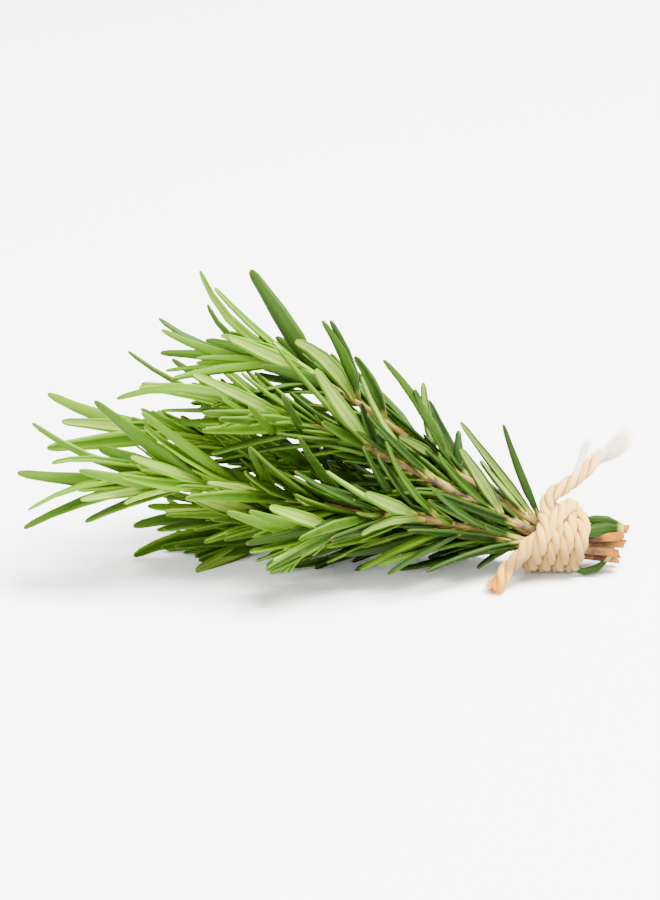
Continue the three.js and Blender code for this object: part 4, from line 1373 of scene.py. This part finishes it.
def twine_points():
    """The points of the twine's route, which is the solid's but for moves of up to 2 mm at the tie."""
    first_angle, rise = TWINE["first_angle"], TWINE["rise"]
    last_angle = TWINE["last_angle"] - TWINE["turns"] * 360
    count = round((first_angle - last_angle) / 360 * TWINE["points_per_turn"])
    turns = []
    for i in range(count + 1):
        angle = first_angle + (last_angle - first_angle) * i / count
        wound = TWINE["pitch"] * min(0, angle) / 360
        along = TWINE["first_turn"] + wound - TWINE["lean"] * math.sin(math.radians(angle))
        share = -wound / (2 * TWINE["first_turn"])
        radius = TWINE["first_radius"] + (TWINE["last_radius"] - TWINE["first_radius"]) * share
        lift = rise["most"] * math.exp(-(((angle - rise["angle"]) / rise["spread"]) ** 2))
        turns.append(round_tie(along, angle, radius + lift))
    crossing = [round_tie(*place) for place in TWINE["crossing"]]
    return np.array([*TWINE["upper_end"], *turns, *crossing, *TWINE["lower_end"]], float)


class Route:
    """A smooth curve through points, by the share of its length: a centripetal Catmull-Rom spline."""

    def __init__(self, points):
        first, last = 2 * points[0] - points[1], 2 * points[-1] - points[-2]
        self.points = np.array([first, *points, last])
        self.pieces = len(points) - 1
        self.times = np.linspace(0, 1, TWINE["divisions"] + 1)
        places = np.array([self.at_time(time) for time in self.times])
        steps = np.linalg.norm(np.diff(places, axis=0), axis=1)
        self.lengths = np.concatenate([[0], np.cumsum(steps)])
        self.length = self.lengths[-1]

    def at_time(self, time):
        whole = min(int(time * self.pieces), self.pieces - 1)
        weight = time * self.pieces - whole
        p0, p1, p2, p3 = self.points[whole:whole + 4]
        d0, d1, d2 = (math.sqrt(np.linalg.norm(b - a)) for a, b in ((p0, p1), (p1, p2), (p2, p3)))
        t1 = ((p1 - p0) / d0 - (p2 - p0) / (d0 + d1) + (p2 - p1) / d1) * d1
        t2 = ((p2 - p1) / d1 - (p3 - p1) / (d1 + d2) + (p3 - p2) / d2) * d1
        cubic, square = 2 * (p1 - p2) + t1 + t2, 3 * (p2 - p1) - 2 * t1 - t2
        return ((cubic * weight + square) * weight + t1) * weight + p1

    def point(self, share):
        return self.at_time(np.interp(share * self.length, self.lengths, self.times))

    def towards(self, share):
        nearby = 1e-4
        time = np.interp(share * self.length, self.lengths, self.times)
        return norm(self.at_time(min(1, time + nearby)) - self.at_time(max(0, time - nearby)))


# A strand's whole turn about the twine, its points from one station to the next, its sides, how far
# before each end the strands thin, how much they do and how far they lie apart there, where before the
# lower end the singed stretch starts and is full, and how loose the cotton of the upper end looks.
STRAND = {
    "lay": 12,
    "finer": 5,
    "sides": 14,
    "upper": {"before": 14, "thinner": 0.7, "apart": 1.6},
    "lower": {"before": 5, "thinner": 0.3, "apart": 0.5},
    "singed": (7, 1),
    "loose": 0.8,
}
# The strands' painted crevice shade also falls where they face the tie's axis, by this share: fully
# within the first distance of it, in millimetres, and not at all past the second.
WOUND = {"from": 9, "to": 12, "share": 0.9}
# How far from the upper end one strand leaves the others, where it ends, how thin it is there, how far it
# runs on before it turns away, and its points.
PARTED_STRAND = {"from": 20, "end": (66.9, 7.5, 31.4), "thin": 0.35, "pull": 4, "points": 24}


def twine_strands(route, settings):
    """Three lines that lie round the route as the solid's lobes do. One parts near the upper end."""
    # The twine's own upright at its stations, carried along without turning about it.
    count = round(route.length / TWINE["step"])
    ups = []
    up = square_to(np.array([0.0, 1, 0]), route.towards(0))
    for i in range(count + 1):
        up = square_to(up, route.towards(i / count))
        ups.append(up)
    fine = count * STRAND["finer"]
    shares = np.arange(fine + 1) / fine
    distance = shares * route.length
    upper = smooth(-distance, -STRAND["upper"]["before"], 0)
    lower = smooth(distance - route.length, -STRAND["lower"]["before"], 0)
    singed_from, singed_full = STRAND["singed"]
    singed = smooth(distance - route.length, -singed_from, -singed_full)
    thick = 1 - STRAND["upper"]["thinner"] * upper - STRAND["lower"]["thinner"] * lower
    apart = 1 + STRAND["upper"]["apart"] * upper + STRAND["lower"]["apart"] * lower
    lines = []
    for lobe in range(TWINE["strands"]):
        points, outs = [], []
        for share, wide in zip(shares, apart * thick):
            station = share * count
            before = min(int(station), count - 1)
            towards = route.towards(share)
            level = ups[before] + (ups[before + 1] - ups[before]) * (station - before)
            up = square_to(level, towards)
            side = np.cross(up, towards)
            angle = -math.tau * route.length * share / STRAND["lay"]
            lobe_angle = lobe * math.tau / TWINE["strands"]
            turned_side = side * math.cos(angle) + up * math.sin(angle)
            turned_up = up * math.cos(angle) - side * math.sin(angle)
            out = turned_up * math.sin(lobe_angle) - turned_side * math.cos(lobe_angle)
            points.append(route.point(share) + out * wide * settings.strand_offset / MM)
            from_tie = points[-1] - TIE["centre"]
            away = square_to(from_tie, TIE_AXIS)
            wound = smooth(-away.dot(from_tie), -WOUND["to"], -WOUND["from"])
            outs.append(norm(out + WOUND["share"] * wound * away))
        lines.append({
            "points": np.array(points), "girth": settings.strand_radius * thick, "singed": singed,
            "outward": np.array(outs), "loose": STRAND["loose"] * upper,
        })
    lines[0] = parted_strand(lines[0], distance, settings)
    return lines


def parted_strand(line, distance, settings):
    """The strand that leaves the twist near the upper end and goes its own way."""
    kept = int(np.searchsorted(distance, PARTED_STRAND["from"]))
    start, after = line["points"][kept], line["points"][kept + 1]
    end = np.array(PARTED_STRAND["end"], float)
    middle = start + norm(start - after) * PARTED_STRAND["pull"]
    share = np.linspace(1, 0, PARTED_STRAND["points"])[:-1, None]
    way = start * (1 - share) ** 2 + middle * 2 * share * (1 - share) + end * share ** 2
    thin = settings.strand_radius * (1 - (1 - PARTED_STRAND["thin"]) * share[:, 0])
    return {
        "points": np.concatenate([way, line["points"][kept:]]),
        "girth": np.concatenate([thin, line["girth"][kept:]]),
        "singed": np.concatenate([0 * thin, line["singed"][kept:]]),
        "outward": np.concatenate([np.tile(line["outward"][kept], (len(thin), 1)), line["outward"][kept:]]),
        "loose": np.concatenate([share[:, 0], line["loose"][kept:]]),
    }


# Loose fibres at each end, in millimetres: where they start before it and how far they reach past it,
# how far from the middle they lie at most where they start and where they end, and whether they are singed.
TUFTS = {
    "upper": {
        "fibres": 420, "before": (4, 17), "past": (-5, 2.2), "start": 1.9, "flare": 2.7, "singed": 0,
    },
    "parted": {
        "fibres": 130, "before": (2, 9), "past": (-2, 1.8), "start": 0.8, "flare": 1.2, "singed": 0,
    },
    "lower": {
        "fibres": 320, "before": (2, 5.5), "past": (-0.8, 1.5), "start": 1.8, "flare": 2.8, "singed": 1,
    },
}
# A fibre's sides and points, how far it waves, how far it turns about the twine in radians and which
# share of that is backwards, and how low it may lie.
FIBRE = {"sides": 3, "points": 7, "wave": 0.5, "turn": 1.2, "back": 0.3, "lowest": 0.1}


def tuft(path, kind, random, settings):
    """Fibres that follow a path's last stretch, spread and end about its end.

    Past its end the path runs on for 1 mm as its last piece does, and from there as its last three do.
    """
    from_end = np.concatenate([[0], np.cumsum(np.linalg.norm(np.diff(path[::-1], axis=0), axis=1))])
    past_end = path[-1] + norm(path[-1] - path[-2])
    distances = np.concatenate([[-1], from_end])
    places = np.concatenate([[past_end], path[::-1]])
    onward = norm(path[-1] - path[-4])
    across = square_to(UPRIGHT, onward)
    lines = []
    for _ in range(kind["fibres"]):
        first, last = (low + (high - low) * next(random) for low, high in (kind["before"], kind["past"]))
        steps = np.linspace(0, 1, FIBRE["points"])
        along = first + (-last - first) * steps
        middle = np.array([np.interp(along, distances, places[:, axis]) for axis in range(3)]).T
        middle += np.maximum(0, -1 - along)[:, None] * onward
        begin = math.tau * next(random)
        angle = begin + FIBRE["turn"] * (next(random) - FIBRE["back"]) * steps
        spread = math.sqrt(next(random))
        radius = (kind["start"] + (kind["flare"] - kind["start"]) * steps ** 2) * spread
        radius = radius + FIBRE["wave"] * (next(random) - 0.5) * np.sin(steps * math.tau * (1 + next(random)))
        points = middle + radius[:, None] * (
            across * np.cos(angle)[:, None] + np.cross(across, onward) * np.sin(angle)[:, None]
        )
        points[:, 2] = np.maximum(points[:, 2], FIBRE["lowest"])
        lines.append({
            "points": points, "girth": [settings.fibre_radius] * FIBRE["points"],
            "singed": kind["singed"] * np.sqrt(steps), "outward": 0 * points,
            "loose": [1 - kind["singed"]] * FIBRE["points"],
        })
    return lines


def frayed_ends(strands, settings):
    """Tufts at both ends of the twine and at the end of the parted strand."""
    random = draws(SEEDS["frays"])
    together = (strands[1]["points"] + strands[2]["points"]) / 2
    return [
        *tuft(together[::-1], TUFTS["upper"], random, settings),
        *tuft(strands[0]["points"][::-1], TUFTS["parted"], random, settings),
        *tuft(together, TUFTS["lower"], random, settings),
    ]


# The fuzz: fibres on each millimetre of twine, their length, points and thickness beside a fray's, how
# far they lean along the strand, how deep they are rooted in it as a share of its radius, and how loose
# they look. A strand steeper than this is set against the tie's width instead of the upright.
FUZZ = {
    "each_mm": 7,
    "shortest": 0.6,
    "longest": 2.2,
    "points": 5,
    "thin": 0.6,
    "lean": 1.5,
    "rooted": 0.9,
    "loose": 0.3,
    "steep": 0.9,
}


def fuzz_fibres(strands, route, settings):
    """Short fibres that stand off the strands all along the twine."""
    random = draws(SEEDS["fuzz"])
    lines = []
    for number in range(int(route.length * FUZZ["each_mm"])):
        points = strands[number % TWINE["strands"]]["points"]
        i = int(next(random) * (len(points) - 2))
        here, after = points[i], points[i + 1]
        forward = norm(after - here)
        across = square_to(UPRIGHT if abs(forward[2]) < FUZZ["steep"] else TIE_ACROSS, forward)
        angle = math.tau * next(random)
        outward = across * math.cos(angle) + np.cross(across, forward) * math.sin(angle)
        along = FUZZ["lean"] * (2 * next(random) - 1)
        lean = norm(outward + forward * along + np.cross(outward, forward))
        reach = FUZZ["shortest"] + (FUZZ["longest"] - FUZZ["shortest"]) * next(random) ** 2
        root = here + outward * FUZZ["rooted"] * settings.strand_radius / MM
        steps = np.linspace(0, 1, FUZZ["points"])[:, None]
        fibre = root + lean * reach * steps + forward * (next(random) - 0.5) * steps ** 2 * reach
        fibre[:, 2] = np.maximum(fibre[:, 2], FIBRE["lowest"])
        lines.append({
            "points": fibre, "girth": [settings.fibre_radius * FUZZ["thin"]] * FUZZ["points"],
            "singed": [0] * FUZZ["points"], "outward": 0 * fibre, "loose": [FUZZ["loose"]] * FUZZ["points"],
        })
    return lines


class ROSEMARY_OT_twine(bpy.types.Operator):
    """Winds the three strands of the twine and frays their ends"""

    bl_idname = "rosemary.twine"
    bl_label = "Cotton Twine"

    def execute(self, context):
        settings = context.scene.rosemary_twine
        tree = sweep_tree()
        material = twine_material(settings)
        route = Route(twine_points())
        strands = twine_strands(route, settings)
        values = {"Finish": material, "End finish": material}
        for name, lines, sides in (
            ("twine_strands", strands, STRAND["sides"]),
            ("twine_frays", frayed_ends(strands, settings), FIBRE["sides"]),
            ("twine_fuzz", fuzz_fibres(strands, route, settings), FIBRE["sides"]),
        ):
            piece = grown_piece(name, lines_plan(name + "_plan", lines), tree, {**values, "Sides": sides})
            dress(piece, "twine")
        return {"FINISHED"}


# ---------------------------------------------------------------- stage

# In metres: half of the floor's side, where each light stands from what the camera looks at, and how wide
# it is. Sky is the strength of the light from all round.
STUDIO = {
    "floor_half": 3.0,
    "sky": 1.15,
    "key": {"from": (0.9, -0.2, 2.3), "size": 1.4},
    "fill": {"from": (-1.4, -1.8, 1.1), "size": 1.5},
    "nearest_seen": 0.01,
}


def add_light(name, place, aim, size, power):
    """A square soft light that looks at a point."""
    lamp = bpy.data.lights.new(name, "AREA")
    lamp.shape = "SQUARE"
    lamp.size = size
    lamp.energy = power
    light = bpy.data.objects.new(name, lamp)
    light.location = place
    light.rotation_euler = (Vector(aim) - Vector(place)).to_track_quat("-Z", "Y").to_euler()
    bpy.context.scene.collection.objects.link(light)


class ROSEMARY_OT_stage(bpy.types.Operator):
    """Lays the pale floor and sets up the soft lights and the camera"""

    bl_idname = "rosemary.stage"
    bl_label = "Studio"

    def execute(self, context):
        settings = context.scene.rosemary_stage
        scene = context.scene
        half = STUDIO["floor_half"]
        floor_mesh = bpy.data.meshes.new("floor")
        corners = [(-half, -half, 0), (half, -half, 0), (half, half, 0), (-half, half, 0)]
        floor_mesh.from_pydata(corners, [], [(0, 1, 2, 3)])
        floor_mesh.materials.append(floor_material(settings))
        floor = bpy.data.objects.new("floor", floor_mesh)
        scene.collection.objects.link(floor)

        world = bpy.data.worlds.new("studio")
        world.use_nodes = True
        sky = world.node_tree.nodes["Background"].inputs
        sky["Color"].default_value = (1, 1, 1, 1)
        sky["Strength"].default_value = STUDIO["sky"]
        scene.world = world
        target = Vector(settings.look_at)
        for name, power in (("key", settings.key), ("fill", settings.fill)):
            light = STUDIO[name]
            add_light(name, target + Vector(light["from"]), target, light["size"], power)

        camera_data = bpy.data.cameras.new("camera")
        camera_data.lens = settings.lens
        camera_data.clip_start = STUDIO["nearest_seen"]
        camera = bpy.data.objects.new("camera", camera_data)
        back = Vector((0, -math.cos(settings.elevation), math.sin(settings.elevation)))
        camera.location = target + back * settings.distance
        camera.rotation_euler = (-back).to_track_quat("-Z", "Y").to_euler()
        scene.collection.objects.link(camera)
        scene.camera = camera
        return {"FINISHED"}


# ---------------------------------------------------------------- add-on


class ROSEMARY_PT_panel(bpy.types.Panel):
    """Lists the pieces of the bunch and their settings"""

    bl_label = "Rosemary Bunch"
    bl_idname = "ROSEMARY_PT_panel"
    bl_space_type = "VIEW_3D"
    bl_region_type = "UI"
    bl_category = "Rosemary"

    def draw(self, context):
        scene = context.scene
        for title, operator, settings in (
            ("Leaves", ROSEMARY_OT_leaves, scene.rosemary_leaves),
            ("Stems", ROSEMARY_OT_stems, scene.rosemary_stems),
            ("Twine", ROSEMARY_OT_twine, scene.rosemary_twine),
            ("Studio", ROSEMARY_OT_stage, scene.rosemary_stage),
        ):
            box = self.layout.box()
            box.label(text=title)
            for label in settings.bl_rna.properties.keys():
                if label not in ("rna_type", "name"):
                    box.prop(settings, label)
            box.operator(operator.bl_idname)


SETTINGS = {
    "rosemary_leaves": LeafSettings,
    "rosemary_stems": StemSettings,
    "rosemary_twine": TwineSettings,
    "rosemary_stage": StageSettings,
}
OPERATORS = (ROSEMARY_OT_leaves, ROSEMARY_OT_stems, ROSEMARY_OT_twine, ROSEMARY_OT_stage)


def register():
    for kind in (*SETTINGS.values(), *OPERATORS, ROSEMARY_PT_panel):
        bpy.utils.register_class(kind)
    for name, kind in SETTINGS.items():
        setattr(bpy.types.Scene, name, bpy.props.PointerProperty(type=kind))


def unregister():
    for name in SETTINGS:
        delattr(bpy.types.Scene, name)
    for kind in (ROSEMARY_PT_panel, *reversed(OPERATORS), *reversed(SETTINGS.values())):
        bpy.utils.unregister_class(kind)


def main():
    register()
    bpy.ops.rosemary.leaves()
    bpy.ops.rosemary.stems()
    bpy.ops.rosemary.twine()
    bpy.ops.rosemary.stage()


if __name__ == "__main__":
    main()
